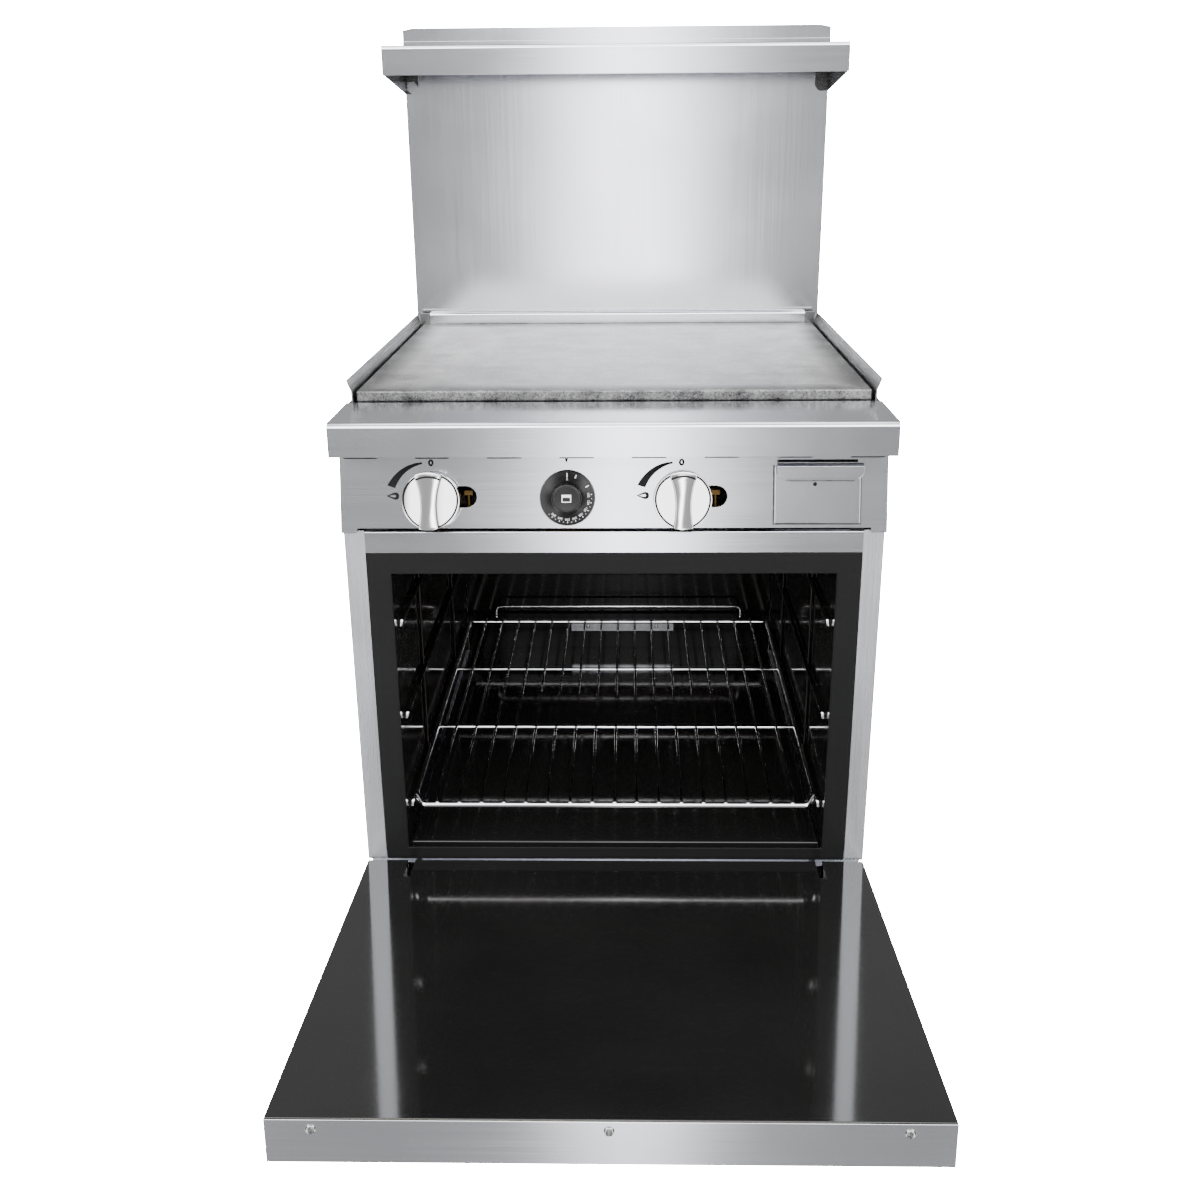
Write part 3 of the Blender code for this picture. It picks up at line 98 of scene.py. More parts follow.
def stops(ramp, *places):
    """Sets a colour ramp's stops from (position, grey) pairs or (position, colour) pairs."""
    while len(ramp.elements) > 1:
        ramp.elements.remove(ramp.elements[0])
    for i, (position, value) in enumerate(places):
        element = ramp.elements[0] if i == 0 else ramp.elements.new(position)
        element.position = position
        element.color = (*value, 1) if isinstance(value, tuple) else (value, value, value, 1)


compass = add_node(sky, "ShaderNodeTexCoord")
parted = add_node(sky, "ShaderNodeSeparateXYZ", {0: compass.outputs["Generated"]})
sideways = add_node(sky, "ShaderNodeMath", {0: parted.outputs["X"]}, operation="ABSOLUTE")
strip = add_node(sky, "ShaderNodeValToRGB", {0: sideways.outputs[0]})
stops(strip.color_ramp, *STRIP_LIGHT)
rise = add_node(sky, "ShaderNodeValToRGB", {0: parted.outputs["Z"]})
stops(rise.color_ramp, *BRIGHT_ABOVE)
in_front = add_node(sky, "ShaderNodeMath", {0: parted.outputs["Y"], 1: 0.0}, operation="LESS_THAN")
above = add_node(
    sky, "ShaderNodeVectorMath", {0: rise.outputs[0], 1: in_front.outputs[0]}, operation="MULTIPLY"
)
brighter = add_node(
    sky, "ShaderNodeVectorMath", {0: strip.outputs[0], 1: above.outputs[0]}, operation="MAXIMUM"
)
across = add_node(sky, "ShaderNodeValToRGB", {0: sideways.outputs[0]})
stops(across.color_ramp, *LAMP_ACROSS)
height = add_node(sky, "ShaderNodeMapRange", {"Value": parted.outputs["Z"], "From Min": -1.0})
upwards = add_node(sky, "ShaderNodeValToRGB", {0: height.outputs[0]})
stops(upwards.color_ramp, *LAMP_UP)
lamp_glow = add_node(
    sky, "ShaderNodeVectorMath", {0: across.outputs[0], 1: upwards.outputs[0]}, operation="MULTIPLY"
)
whole = add_node(
    sky, "ShaderNodeVectorMath", {0: brighter.outputs[0], 1: lamp_glow.outputs[0]}, operation="ADD"
)
surround = sky.nodes["Background"]
sky.links.new(whole.outputs[0], surround.inputs["Color"])
backdrop = add_node(sky, "ShaderNodeBackground", {"Color": (1, 1, 1, 1), "Strength": BACKDROP_GLOW})
rays = add_node(sky, "ShaderNodeLightPath")
seen = add_node(
    sky, "ShaderNodeMixShader",
    {0: rays.outputs["Is Camera Ray"], 1: surround.outputs[0], 2: backdrop.outputs[0]},
)
sky.links.new(seen.outputs[0], sky.nodes["World Output"].inputs["Surface"])

floor_mesh = bmesh.new()
bmesh.ops.create_grid(floor_mesh, x_segments=8, y_segments=8, size=9)
floor_data = bpy.data.meshes.new("studio_floor")
floor_mesh.to_mesh(floor_data)
floor_mesh.free()
floor = bpy.data.objects.new("studio_floor", floor_data)
bpy.context.scene.collection.objects.link(floor)
floor.visible_glossy = False
floor_paint = bpy.data.materials.new("studio_floor_paint")
floor_paint.use_nodes = True
paint = floor_paint.node_tree
matt = paint.nodes["Principled BSDF"]
matt.inputs["Base Color"].default_value = (0.9, 0.9, 0.9, 1)
matt.inputs["Roughness"].default_value = 0.9
matt.inputs["Specular IOR Level"].default_value = 0.1
looked_at = add_node(paint, "ShaderNodeLightPath")
glow = add_node(
    paint, "ShaderNodeMath", {0: looked_at.outputs["Is Camera Ray"], 1: FLOOR_GLOW}, operation="MULTIPLY"
)
white = add_node(paint, "ShaderNodeEmission", {"Color": (1, 1, 1, 1), "Strength": glow.outputs[0]})
lit = add_node(paint, "ShaderNodeAddShader", {0: matt.outputs[0], 1: white.outputs[0]})
paint.links.new(lit.outputs[0], paint.nodes["Material Output"].inputs["Surface"])
floor_data.materials.append(floor_paint)


def soft_light(name, place, aim, size, power):
    lamp = bpy.data.lights.new(name, "AREA")
    lamp.shape = "RECTANGLE"
    lamp.size, lamp.size_y = size
    lamp.energy = power
    held = bpy.data.objects.new(name, lamp)
    bpy.context.scene.collection.objects.link(held)
    held.location = place
    held.rotation_euler = (Vector(aim) - Vector(place)).to_track_quat("-Z", "Y").to_euler()
    held.visible_camera = False


soft_light("overhead_light", (0, 0.1, 3.2), (0, 0.2, 0.9), (1.6, 1.6), 26)

# Casing. Two folded side panels and a kick plate in brushed 304 stainless steel, and a galvanised back
# panel and base pan, all 1.2 mm. The brushing is a fine grain along the sheet with faint smears on it.
ALONG_X, ALONG_Y, ALONG_Z = (5, 900, 900), (900, 5, 900), (900, 900, 5)
STEEL_LIGHT, STEEL_DARK = (0.715, 0.725, 0.765), (0.675, 0.685, 0.73)


def surface_group(name, inputs, outputs):
    """An empty shader group with its sockets, and its two end nodes."""
    group = bpy.data.node_groups.new(name, "ShaderNodeTree")
    for label, kind, value in inputs:
        group.interface.new_socket(label, in_out="INPUT", socket_type=kind).default_value = value
    for label, kind in outputs:
        group.interface.new_socket(label, in_out="OUTPUT", socket_type=kind)
    return group, group.nodes.new("NodeGroupInput"), group.nodes.new("NodeGroupOutput")


grain, grain_in, grain_out = surface_group(
    "sheet_grain",
    [("Stretch", "NodeSocketVector", ALONG_X), ("Smear Scale", "NodeSocketFloat", 6.0)],
    [("Grain", "NodeSocketFloat"), ("Tone", "NodeSocketFloat")],
)
grain_place = add_node(grain, "ShaderNodeTexCoord").outputs["Object"]
grain_stretch = add_node(
    grain, "ShaderNodeMapping", {"Vector": grain_place, "Scale": grain_in.outputs["Stretch"]}
)
grain_lines = add_node(
    grain, "ShaderNodeTexNoise", {"Vector": grain_stretch.outputs[0], "Scale": 1.0, "Detail": 3.0}
)
smears = add_node(
    grain, "ShaderNodeTexNoise",
    {"Vector": grain_place, "Scale": grain_in.outputs["Smear Scale"], "Detail": 2.0, "Distortion": 0.6},
)
both = add_node(grain, "ShaderNodeMath", {0: grain_lines.outputs["Fac"], 1: smears.outputs["Fac"]})
tone = add_node(grain, "ShaderNodeMapRange", {"Value": both.outputs[0], "From Min": 0.7, "From Max": 1.3})
grain.links.new(grain_lines.outputs["Fac"], grain_out.inputs["Grain"])
grain.links.new(tone.outputs[0], grain_out.inputs["Tone"])


def new_finish(name, metallic, roughness, colour):
    """A material with its Principled shader's plain values set, its node tree and the shader."""
    made = bpy.data.materials.new(name)
    made.use_nodes = True
    shader = made.node_tree.nodes["Principled BSDF"]
    shader.inputs["Metallic"].default_value = metallic
    shader.inputs["Roughness"].default_value = roughness
    shader.inputs["Base Color"].default_value = (*colour, 1)
    made.diffuse_color = (*colour, 1)
    return made, made.node_tree, shader


def varied(tree, socket, factor, low, high):
    """Drives a shader's socket between two values, or two colours, by a factor."""
    if isinstance(low, tuple):
        mixed = add_node(tree, "ShaderNodeMix", {0: factor, 6: (*low, 1), 7: (*high, 1)}, data_type="RGBA")
        tree.links.new(mixed.outputs[2], socket)
    else:
        ranged = add_node(tree, "ShaderNodeMapRange", {"Value": factor, "To Min": low, "To Max": high})
        tree.links.new(ranged.outputs[0], socket)


def brushed(name, stretch, light, dark, rough, relief=0.00001, smear_scale=6.0):
    """Metal whose colour and roughness follow its grain and its smears."""
    made, tree, shader = new_finish(name, 1.0, rough[1], light)
    marks = add_node(tree, "ShaderNodeGroup", node_tree=grain)
    marks.inputs["Stretch"].default_value = stretch
    marks.inputs["Smear Scale"].default_value = smear_scale
    varied(tree, shader.inputs["Base Color"], marks.outputs["Tone"], dark, light)
    varied(tree, shader.inputs["Roughness"], marks.outputs["Tone"], *rough)
    ridges = add_node(
        tree, "ShaderNodeBump", {"Height": marks.outputs["Grain"], "Strength": 0.2, "Distance": relief}
    )
    tree.links.new(ridges.outputs[0], shader.inputs["Normal"])
    return made


STEEL_POLISH, SIDE_POLISH = (0.13, 0.17), (0.24, 0.30)
stainless = brushed("stainless_across", ALONG_X, STEEL_LIGHT, STEEL_DARK, STEEL_POLISH)
stainless_deep = brushed("stainless_deep", ALONG_Y, STEEL_LIGHT, STEEL_DARK, STEEL_POLISH)
stainless_tall = brushed("stainless_tall", ALONG_Z, STEEL_LIGHT, STEEL_DARK, STEEL_POLISH)

galvanised, zinc, zinc_shader = new_finish("galvanised_sheet", 1.0, 0.45, (0.60, 0.62, 0.64))
zinc_place = add_node(zinc, "ShaderNodeTexCoord")
spangle = add_node(zinc, "ShaderNodeTexVoronoi", {"Vector": zinc_place.outputs["Object"], "Scale": 70.0})
spangle_tone = add_node(zinc, "ShaderNodeSeparateColor", {0: spangle.outputs["Color"]})
varied(
    zinc, zinc_shader.inputs["Base Color"], spangle_tone.outputs[0],
    (0.54, 0.56, 0.58), (0.68, 0.70, 0.72),
)
varied(zinc, zinc_shader.inputs["Roughness"], spangle_tone.outputs[1], 0.36, 0.52)


def settled(name, material, *worked, smooth_over=None):
    """One plain mesh at the origin from worked objects, which are removed."""
    bpy.context.view_layer.update()
    graph = bpy.context.evaluated_depsgraph_get()
    meshes = []
    for each in worked:
        mesh = bpy.data.meshes.new_from_object(each.evaluated_get(graph))
        mesh.transform(each.matrix_world)
        meshes.append(mesh)
    for each in worked:
        bpy.data.objects.remove(each)
    mesh = meshes[0]
    if len(meshes) > 1:
        bm = bmesh.new()
        for each in meshes:
            bm.from_mesh(each)
        mesh = bpy.data.meshes.new(name)
        bm.to_mesh(mesh)
        bm.free()
    mesh.name = name
    mesh.materials.clear()
    mesh.materials.append(material)
    mesh.polygons.foreach_set("material_index", [0] * len(mesh.polygons))
    if smooth_over is not None:
        mesh.shade_smooth()
        mesh.set_sharp_from_angle(angle=math.radians(smooth_over))
    piece = bpy.data.objects.new(name, mesh)
    bpy.context.scene.collection.objects.link(piece)
    return piece


def worked_mesh(name, bm, place=None):
    """A smooth-shaded object from a bmesh, set at a place, ready for modifiers."""
    bmesh.ops.recalc_face_normals(bm, faces=bm.faces)
    mesh = bpy.data.meshes.new(name)
    bm.to_mesh(mesh)
    bm.free()
    mesh.shade_smooth()
    made = bpy.data.objects.new(name, mesh)
    bpy.context.scene.collection.objects.link(made)
    if place is not None:
        made.matrix_world = place
    return made


def rounded_edges(worked, radius, steps=2, over=30):
    """Rounds a worked object's true edges and keeps its flat faces flat."""
    bevel = worked.modifiers.new("rounded_edges", "BEVEL")
    bevel.width = radius
    bevel.segments = steps
    bevel.limit_method = "ANGLE"
    bevel.angle_limit = math.radians(over)
    flat = worked.modifiers.new("flat_faces", "WEIGHTED_NORMAL")
    flat.keep_sharp = True
    return worked


def fitted(piece, body="range_body", stands_for=()):
    """Rides a finished piece on its body and hides the nodes that it stands for."""
    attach(piece, body)
    if stands_for:
        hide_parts(*stands_for)
    return piece


def node_mesh(node):
    """A clean bmesh copy of a CAD node."""
    bm = bmesh.new()
    bm.from_mesh(frame["nodes"][node].data)
    bmesh.ops.remove_doubles(bm, verts=bm.verts, dist=0.00002)
    bmesh.ops.dissolve_limit(bm, angle_limit=math.radians(0.5), verts=bm.verts, edges=bm.edges)
    return bm


def deburred(node, material, body="range_body", radius=0.00035, over=30):
    """A node with its cut edges softened, in place of the node."""
    worked = rounded_edges(worked_mesh(node, node_mesh(node)), radius, over=over)
    return fitted(settled(f"{node}_deburred", material, worked), body, [node])


stainless_sides = brushed("stainless_sides", ALONG_Z, STEEL_LIGHT, STEEL_DARK, SIDE_POLISH)
for word in ("left", "right"):
    deburred(f"side_panel_{word}", stainless_sides)
deburred("kick_plate", stainless)
deburred("back_panel", galvanised)
deburred("base_pan", galvanised)

# Legs and feet. Each leg is a tube of brushed stainless steel pressed into a round plate that four bolts hold
# under the body; a bullet foot screws into it.
LEG_STEPS = 56
TUBE_RADIUS, PLATE_THICKNESS, THREAD_BORE, BORE_DEPTH = 0.0205, 0.003, 0.0095, 0.03
FOOT_HEIGHT, STEM_RADIUS, THREADS, THREAD_CUT = 0.045, 0.009, 14, 0.0009
BOLT_RADIUS, BOLT_HEIGHT, BOLT_CIRCLE = 0.0032, 0.0022, 0.0262


def lathed(name, profile, place=None, steps=64):
    """A (radius, height) profile, from the top centre down the outside, turned about its own Z."""
    bm = bmesh.new()
    ring = [bm.verts.new((radius, 0, height)) for radius, height in profile]
    edges = [bm.edges.new(pair) for pair in zip(ring, ring[1:])]
    bmesh.ops.spin(
        bm, geom=ring + edges, cent=(0, 0, 0), axis=(0, 0, 1), angle=math.tau, steps=steps, use_merge=True
    )
    bmesh.ops.remove_doubles(bm, verts=bm.verts, dist=0.000005)
    return worked_mesh(name, bm, place)


setter = bpy.data.node_groups.new("set_out_copies", "GeometryNodeTree")
for label, kind in (
    ("Places", "NodeSocketGeometry"), ("Copied Piece", "NodeSocketObject"),
    ("Random Turn", "NodeSocketFloat"), ("Seed", "NodeSocketInt"), ("Finish", "NodeSocketMaterial"),
):
    setter.interface.new_socket(label, in_out="INPUT", socket_type=kind)
setter.interface.new_socket("Copies", in_out="OUTPUT", socket_type="NodeSocketGeometry")
set_in, set_end = setter.nodes.new("NodeGroupInput"), setter.nodes.new("NodeGroupOutput")
set_points = add_node(setter, "GeometryNodeMeshToPoints", {"Mesh": set_in.outputs["Places"]})
own_turn = add_node(setter, "GeometryNodeInputNamedAttribute", {"Name": "turn"}, data_type="FLOAT")
chance = add_node(setter, "FunctionNodeRandomValue", {"Seed": set_in.outputs["Seed"]}, data_type="FLOAT")
chance_turn = add_node(
    setter, "ShaderNodeMath", {0: chance.outputs[1], 1: set_in.outputs["Random Turn"]}, operation="MULTIPLY"
)
whole_turn = add_node(setter, "ShaderNodeMath", {0: own_turn.outputs[0], 1: chance_turn.outputs[0]})
about_z = add_node(setter, "ShaderNodeCombineXYZ", {"Z": whole_turn.outputs[0]})
set_turn = add_node(setter, "FunctionNodeEulerToRotation", {0: about_z.outputs[0]})
copied = add_node(setter, "GeometryNodeObjectInfo", {"Object": set_in.outputs["Copied Piece"]})
set_copies = add_node(
    setter, "GeometryNodeInstanceOnPoints",
    {
        "Points": set_points.outputs[0], "Instance": copied.outputs["Geometry"],
        "Rotation": set_turn.outputs[0],
    },
)
set_real = add_node(setter, "GeometryNodeRealizeInstances", {0: set_copies.outputs[0]})
set_finish = add_node(
    setter, "GeometryNodeSetMaterial",
    {"Geometry": set_real.outputs[0], "Material": set_in.outputs["Finish"]},
)
setter.links.new(set_finish.outputs[0], set_end.inputs[0])


def set_out(name, copy, places, material, held_in=None, turns=None, random_turn=0.0, seed=1):
    """Copies of a piece at places in a frame whose Z is their axis. The copied piece stays."""
    mesh = bpy.data.meshes.new(name)
    mesh.from_pydata(places, [], [])
    turn = mesh.attributes.new("turn", "FLOAT", "POINT")
    turn.data.foreach_set("value", turns or [0.0] * len(places))
    host = bpy.data.objects.new(name, mesh)
    copies = host.modifiers.new("copies", "NODES")
    copies.node_group = setter
    values = {"Copied Piece": copy, "Random Turn": random_turn, "Seed": seed, "Finish": material}
    for item in setter.interface.items_tree:
        if item.in_out == "INPUT" and item.name in values:
            copies[item.identifier] = values[item.name]
    bpy.context.scene.collection.objects.link(host)
    if held_in is not None:
        host.matrix_world = held_in
    return host


bolt_profile = [
    (0, BOLT_HEIGHT), (BOLT_RADIUS * 0.8, BOLT_HEIGHT), (BOLT_RADIUS, BOLT_HEIGHT * 0.7),
    (BOLT_RADIUS, 0), (0, 0),
]
hex_bolt = lathed("hex_bolt", bolt_profile, steps=6)
for end in ("front", "rear"):
    for word in ("left", "right"):
        low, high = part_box(f"leg_{end}_{word}")
        x, y = (low.x + high.x) / 2, (low.y + high.y) / 2
        r, top = TUBE_RADIUS, high.z
        plate_r, plate_low = (high.x - low.x) / 2, high.z - PLATE_THICKNESS
        profile = [
            (0, top), (plate_r - 0.0006, top), (plate_r, top - 0.0006), (plate_r, plate_low + 0.0006),
            (plate_r - 0.0006, plate_low), (r + 0.0012, plate_low), (r + 0.0004, plate_low - 0.0004),
            (r, plate_low - 0.0014), (r, low.z + 0.005), (r - 0.0004, low.z + 0.003), (r - 0.0020, low.z),
            (THREAD_BORE, low.z), (THREAD_BORE, low.z + BORE_DEPTH), (0, low.z + BORE_DEPTH),
        ]
        leg = lathed(f"leg_{end}_{word}", profile, Matrix.Translation((x, y, 0)), LEG_STEPS)
        places = [
            (BOLT_CIRCLE * math.cos(a), BOLT_CIRCLE * math.sin(a), 0)
            for a in (math.radians(45 + 90 * i) for i in range(4))
        ]
        under = Matrix.Translation((x, y, plate_low)) @ Matrix.Rotation(math.pi, 4, "X")
        bolts = set_out(
            f"leg_bolts_{end}_{word}", hex_bolt, places, stainless, under, random_turn=1.0, seed=3
        )
        piece = settled(f"turned_leg_{end}_{word}", stainless_tall, leg, bolts, smooth_over=35)
        fitted(piece, stands_for=[f"leg_{end}_{word}"])

        low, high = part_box(f"foot_{end}_{word}")
        foot, stem, r = FOOT_HEIGHT, STEM_RADIUS, (high.x - low.x) / 2
        profile = [(0, high.z), (stem - 0.001, high.z), (stem, high.z - 0.001)]
        for i in range(THREADS):
            z = high.z - 0.002 - (high.z - 0.003 - foot) * i / THREADS
            profile += [(stem, z), (stem - THREAD_CUT, z - 0.0014)]
        profile += [
            (stem, foot), (r - 0.0006, foot), (r, foot - 0.0006), (r, foot * 0.70), (r - 0.0005, foot * 0.66),
            (r * 0.93, foot * 0.42), (r * 0.84, foot * 0.18), (r * 0.78, 0.0035), (r * 0.73, 0.001),
            (r * 0.69, 0), (0, 0),
        ]
        turned_foot = lathed(f"foot_{end}_{word}", profile, Matrix.Translation((x, y, 0)), LEG_STEPS)
        piece = settled(f"turned_foot_{end}_{word}", stainless_deep, turned_foot, smooth_over=35)
        fitted(piece, f"foot_{end}_{word}", [f"foot_{end}_{word}"])
bpy.data.objects.remove(hex_bolt)

# Oven. A face frame in satin black enamel, with four liner sheets and a floor in glossy black porcelain
# enamel behind it, slightly orange-peeled and wrapped in mineral wool. A stainless bracket guards the
# thermostat's bulb.
FLANGE_EDGE, LINER_EDGE, FLOOR_EDGE = 0.0007, 0.0004, 0.0006


def enamelled(name, specular, rough):
    """Black porcelain enamel, faintly dusty and with a slight peel."""
    made, glaze, shader = new_finish(name, 0.0, rough[0], (0.006, 0.006, 0.006))
    shader.inputs["Specular IOR Level"].default_value = specular
    spot = add_node(glaze, "ShaderNodeTexCoord").outputs["Object"]
    peel = add_node(glaze, "ShaderNodeTexNoise", {"Vector": spot, "Scale": 160.0})
    dust = add_node(glaze, "ShaderNodeTexNoise", {"Vector": spot, "Scale": 5.0, "Detail": 4.0})
    varied(
        glaze, shader.inputs["Base Color"], dust.outputs["Fac"],
        (0.003, 0.003, 0.003), (0.008, 0.008, 0.008),
    )
    varied(glaze, shader.inputs["Roughness"], dust.outputs["Fac"], *rough)
    bump = add_node(
        glaze, "ShaderNodeBump", {"Height": peel.outputs["Fac"], "Strength": 0.04, "Distance": 0.0001}
    )
    glaze.links.new(bump.outputs[0], shader.inputs["Normal"])
    return made


liner_enamel = enamelled("liner_enamel", 0.45, (0.05, 0.11))
frame_enamel = enamelled("frame_enamel", 0.14, (0.32, 0.42))
door_enamel = enamelled("door_enamel", 0.62, (0.05, 0.11))

wool, fleece, wool_shader = new_finish("mineral_wool_fleece", 0.0, 0.95, (0.70, 0.64, 0.44))
wool_place = add_node(fleece, "ShaderNodeTexCoord")
tufts = add_node(
    fleece, "ShaderNodeTexNoise", {"Vector": wool_place.outputs["Object"], "Scale": 90.0, "Detail": 6.0}
)
varied(fleece, wool_shader.inputs["Base Color"], tufts.outputs["Fac"], (0.52, 0.46, 0.28), (0.80, 0.74, 0.54))
wool_bump = add_node(
    fleece, "ShaderNodeBump", {"Height": tufts.outputs["Fac"], "Strength": 0.8, "Distance": 0.002}
)
fleece.links.new(wool_bump.outputs[0], wool_shader.inputs["Normal"])

deburred("oven_front_frame", frame_enamel, radius=FLANGE_EDGE)
for node in ("oven_side_left", "oven_side_right", "oven_top", "oven_back"):
    deburred(node, liner_enamel, radius=LINER_EDGE)
deburred("oven_floor", liner_enamel, radius=FLOOR_EDGE)
for node in ("oven_insulation", "door_insulation"):
    frame["nodes"][node].data.materials.clear()
    frame["nodes"][node].data.materials.append(wool)
deburred("bulb_bracket", stainless)


def pan_head(radius, height, drive=0.62):
    """A pan-head screw's head with a cross recess, standing on its own XY plane."""
    profile = [
        (0, height), (radius * 0.45, height * 0.97), (radius * 0.72, height * 0.86),
        (radius * 0.90, height * 0.62), (radius * 0.985, height * 0.30), (radius, 0), (0, 0),
    ]
    head = lathed("pan_head", profile, steps=40)
    bm = bmesh.new()
    for turn in (0, 90):
        sized = Matrix.Diagonal((radius * 2 * drive, radius * 0.24, height * 1.2, 1))
        spot = Matrix.Translation((0, 0, height)) @ Matrix.Rotation(math.radians(turn), 4, "Z")
        bmesh.ops.create_cube(bm, size=1, matrix=spot @ sized)
    slot = worked_mesh("cross_drive", bm)
    recess = head.modifiers.new("recess", "BOOLEAN")
    recess.operation = "DIFFERENCE"
    recess.use_self = True
    recess.object = slot
    made = settled("pan_head", stainless, head, smooth_over=30)
    bpy.data.objects.remove(slot)
    return made


low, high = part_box("bulb_bracket")
bracket_front = Matrix.Translation((0, low.y, 0)) @ Matrix.Rotation(math.pi / 2, 4, "X")
middle_z = (low.z + high.z) / 2
small_screw = pan_head(0.0030, 0.0018)
places = [(low.x + 0.028, middle_z, 0), (high.x - 0.029, middle_z, 0)]
screws = set_out("bracket_screws", small_screw, places, stainless, bracket_front, random_turn=3.0, seed=4)
fitted(settled("bracket_screws", stainless, screws, smooth_over=30))
bpy.data.objects.remove(small_screw)

# Rack and guides. Chromed steel wire: each guide is three rails across two uprights, hooked into the oven's
# side, its chrome coloured darker away from the door as painted shade. The rack is a bent frame with cross
# bars under seventeen wires and a hoop at its back.
chrome, plating, chrome_shader = new_finish("bright_chrome", 1.0, 0.07, (0.90, 0.90, 0.91))
chrome_place = add_node(plating, "ShaderNodeTexCoord")
haze = add_node(plating, "ShaderNodeTexNoise", {"Vector": chrome_place.outputs["Object"], "Scale": 40.0})
varied(plating, chrome_shader.inputs["Roughness"], haze.outputs["Fac"], 0.04, 0.11)


def bent(points, radius, closed=False, steps=6):
    """The corners of a run of straight lines rounded to a radius."""
    points = [Vector(point) for point in points]
    made = []
    last = len(points) - 1
    for i, corner in enumerate(points):
        if not closed and i in (0, last):
            made.append(corner)
            continue
        back, on = points[i - 1] - corner, points[(i + 1) % len(points)] - corner
        half = back.angle(on) / 2
        reach = min(radius / math.tan(half), back.length * 0.49, on.length * 0.49)
        start, end = corner + back.normalized() * reach, corner + on.normalized() * reach
        for k in range(steps + 1):
            t = k / steps
            made.append((1 - t) ** 2 * start + 2 * t * (1 - t) * corner + t ** 2 * end)
    return made


def wire(name, points, radius, bend=0.0, closed=False, fineness=3):
    """Round wire along a run of straight lines with bent corners."""
    path = bent(points, bend, closed) if bend else [Vector(point) for point in points]
    curve = bpy.data.curves.new(name, "CURVE")
    curve.dimensions = "3D"
    curve.bevel_depth = radius
    curve.bevel_resolution = fineness
    curve.use_fill_caps = True
    run = curve.splines.new("POLY")
    run.points.add(len(path) - 1)
    for point, place in zip(run.points, path):
        point.co = (*place, 1)
    run.use_cyclic_u = closed
    made = bpy.data.objects.new(name, curve)
    bpy.context.scene.collection.objects.link(made)
    return made


GUIDE_RADIUS, UPRIGHT_RADIUS, UPRIGHT_INSET = 0.0030, 0.0018, 0.150
RAIL_INSET, HOOK_DROP, HOOK_BEND = 0.012, 0.006, 0.007
BRIGHT_DEPTH, DARK_DEPTH = 0.008, 0.09
guide_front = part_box("rack_guide_left")[0].y
# Painted shade: the guides' chrome goes from bright near the door to near black deeper in, for the shade
# inside the oven.
shaded_chrome, shaded_chrome_tree, shaded_chrome_shader = new_finish("chrome_painted_shade", 1.0, 0.12, (0.5, 0.5, 0.5))
shaded_chrome_place = add_node(shaded_chrome_tree, "ShaderNodeTexCoord")
shaded_chrome_depth = add_node(shaded_chrome_tree, "ShaderNodeSeparateXYZ", {0: shaded_chrome_place.outputs["Object"]})
shade_into_oven = add_node(
    shaded_chrome_tree, "ShaderNodeMapRange",
    {
        "Value": shaded_chrome_depth.outputs["Y"], "From Min": guide_front + BRIGHT_DEPTH,
        "From Max": guide_front + DARK_DEPTH,
    },
)
varied(
    shaded_chrome_tree, shaded_chrome_shader.inputs["Base Color"], shade_into_oven.outputs[0],
    (0.85, 0.85, 0.85), (0.035, 0.033, 0.030),
)
varied(shaded_chrome_tree, shaded_chrome_shader.inputs["Roughness"], shade_into_oven.outputs[0], 0.08, 0.30)
for word, side in (("left", -1), ("right", 1)):
    low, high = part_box(f"rack_guide_{word}")
    outermost = max(abs(low.x), abs(high.x))
    x, wall_x = side * (outermost - GUIDE_RADIUS - 0.0003), side * (outermost - UPRIGHT_RADIUS)
    levels = [low.z + RAIL_INSET + (high.z - low.z - 2 * RAIL_INSET) * i / 2 for i in range(3)]
    wires = [
        wire(
            f"rail_{word}_{i}",
            [
                (wall_x, low.y + GUIDE_RADIUS, level - HOOK_DROP), (x, low.y + GUIDE_RADIUS, level),
                (x, high.y - GUIDE_RADIUS, level), (wall_x, high.y - GUIDE_RADIUS, level - HOOK_DROP),
            ],
            GUIDE_RADIUS, HOOK_BEND,
        )
        for i, level in enumerate(levels)
    ]
    wires += [
        wire(f"upright_{word}_{y}", [(wall_x, y, low.z), (wall_x, y, high.z)], UPRIGHT_RADIUS)
        for y in (low.y + UPRIGHT_INSET, high.y - UPRIGHT_INSET)
    ]
    guide = settled(f"wire_guide_{word}", shaded_chrome, *wires, smooth_over=50)
    fitted(guide, stands_for=[f"rack_guide_{word}"])

RACK_BAR, RACK_WIRE, RACK_WIRES, FRONT_DIP, DIP_RUN = 0.0033, 0.0018, 17, 0.009, 0.004
WIRES_ABOVE, CROSS_BAR = 0.0044, 0.0027
HOOP_WIRE, HOOP_BEND, HOOP_INSET, HOOP_FOOT = 0.0022, 0.010, 0.044, 0.008
low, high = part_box("oven_rack")
bar_z = low.z + RACK_BAR
wires_z = bar_z + WIRES_ABOVE
edge = high.x - RACK_BAR
front, back = low.y + RACK_BAR, high.y - RACK_BAR
dip_z, dip_y, dip_x = bar_z - FRONT_DIP, front + FRONT_DIP, edge - FRONT_DIP
rim = [
    (-edge, dip_y + DIP_RUN, bar_z), (-dip_x, front, dip_z), (dip_x, front, dip_z),
    (edge, dip_y + DIP_RUN, bar_z), (edge, back, bar_z), (-edge, back, bar_z),
]
rack_wires = [wire("rack_rim", rim, RACK_BAR, 0.009, closed=True, fineness=5)]
for i in (1, 2):
    y = front + (back - front) * i / 3
    rack_wires.append(wire(f"cross_bar_{i}", [(-edge, y, bar_z), (edge, y, bar_z)], CROSS_BAR, fineness=5))
hoop, hoop_top = edge - HOOP_INSET, high.z - 0.003
hoop_path = [
    (-hoop, back - HOOP_FOOT, wires_z), (-hoop, back, wires_z + 0.002), (-hoop, back, hoop_top),
    (hoop, back, hoop_top), (hoop, back, wires_z + 0.002), (hoop, back - HOOP_FOOT, wires_z),
]
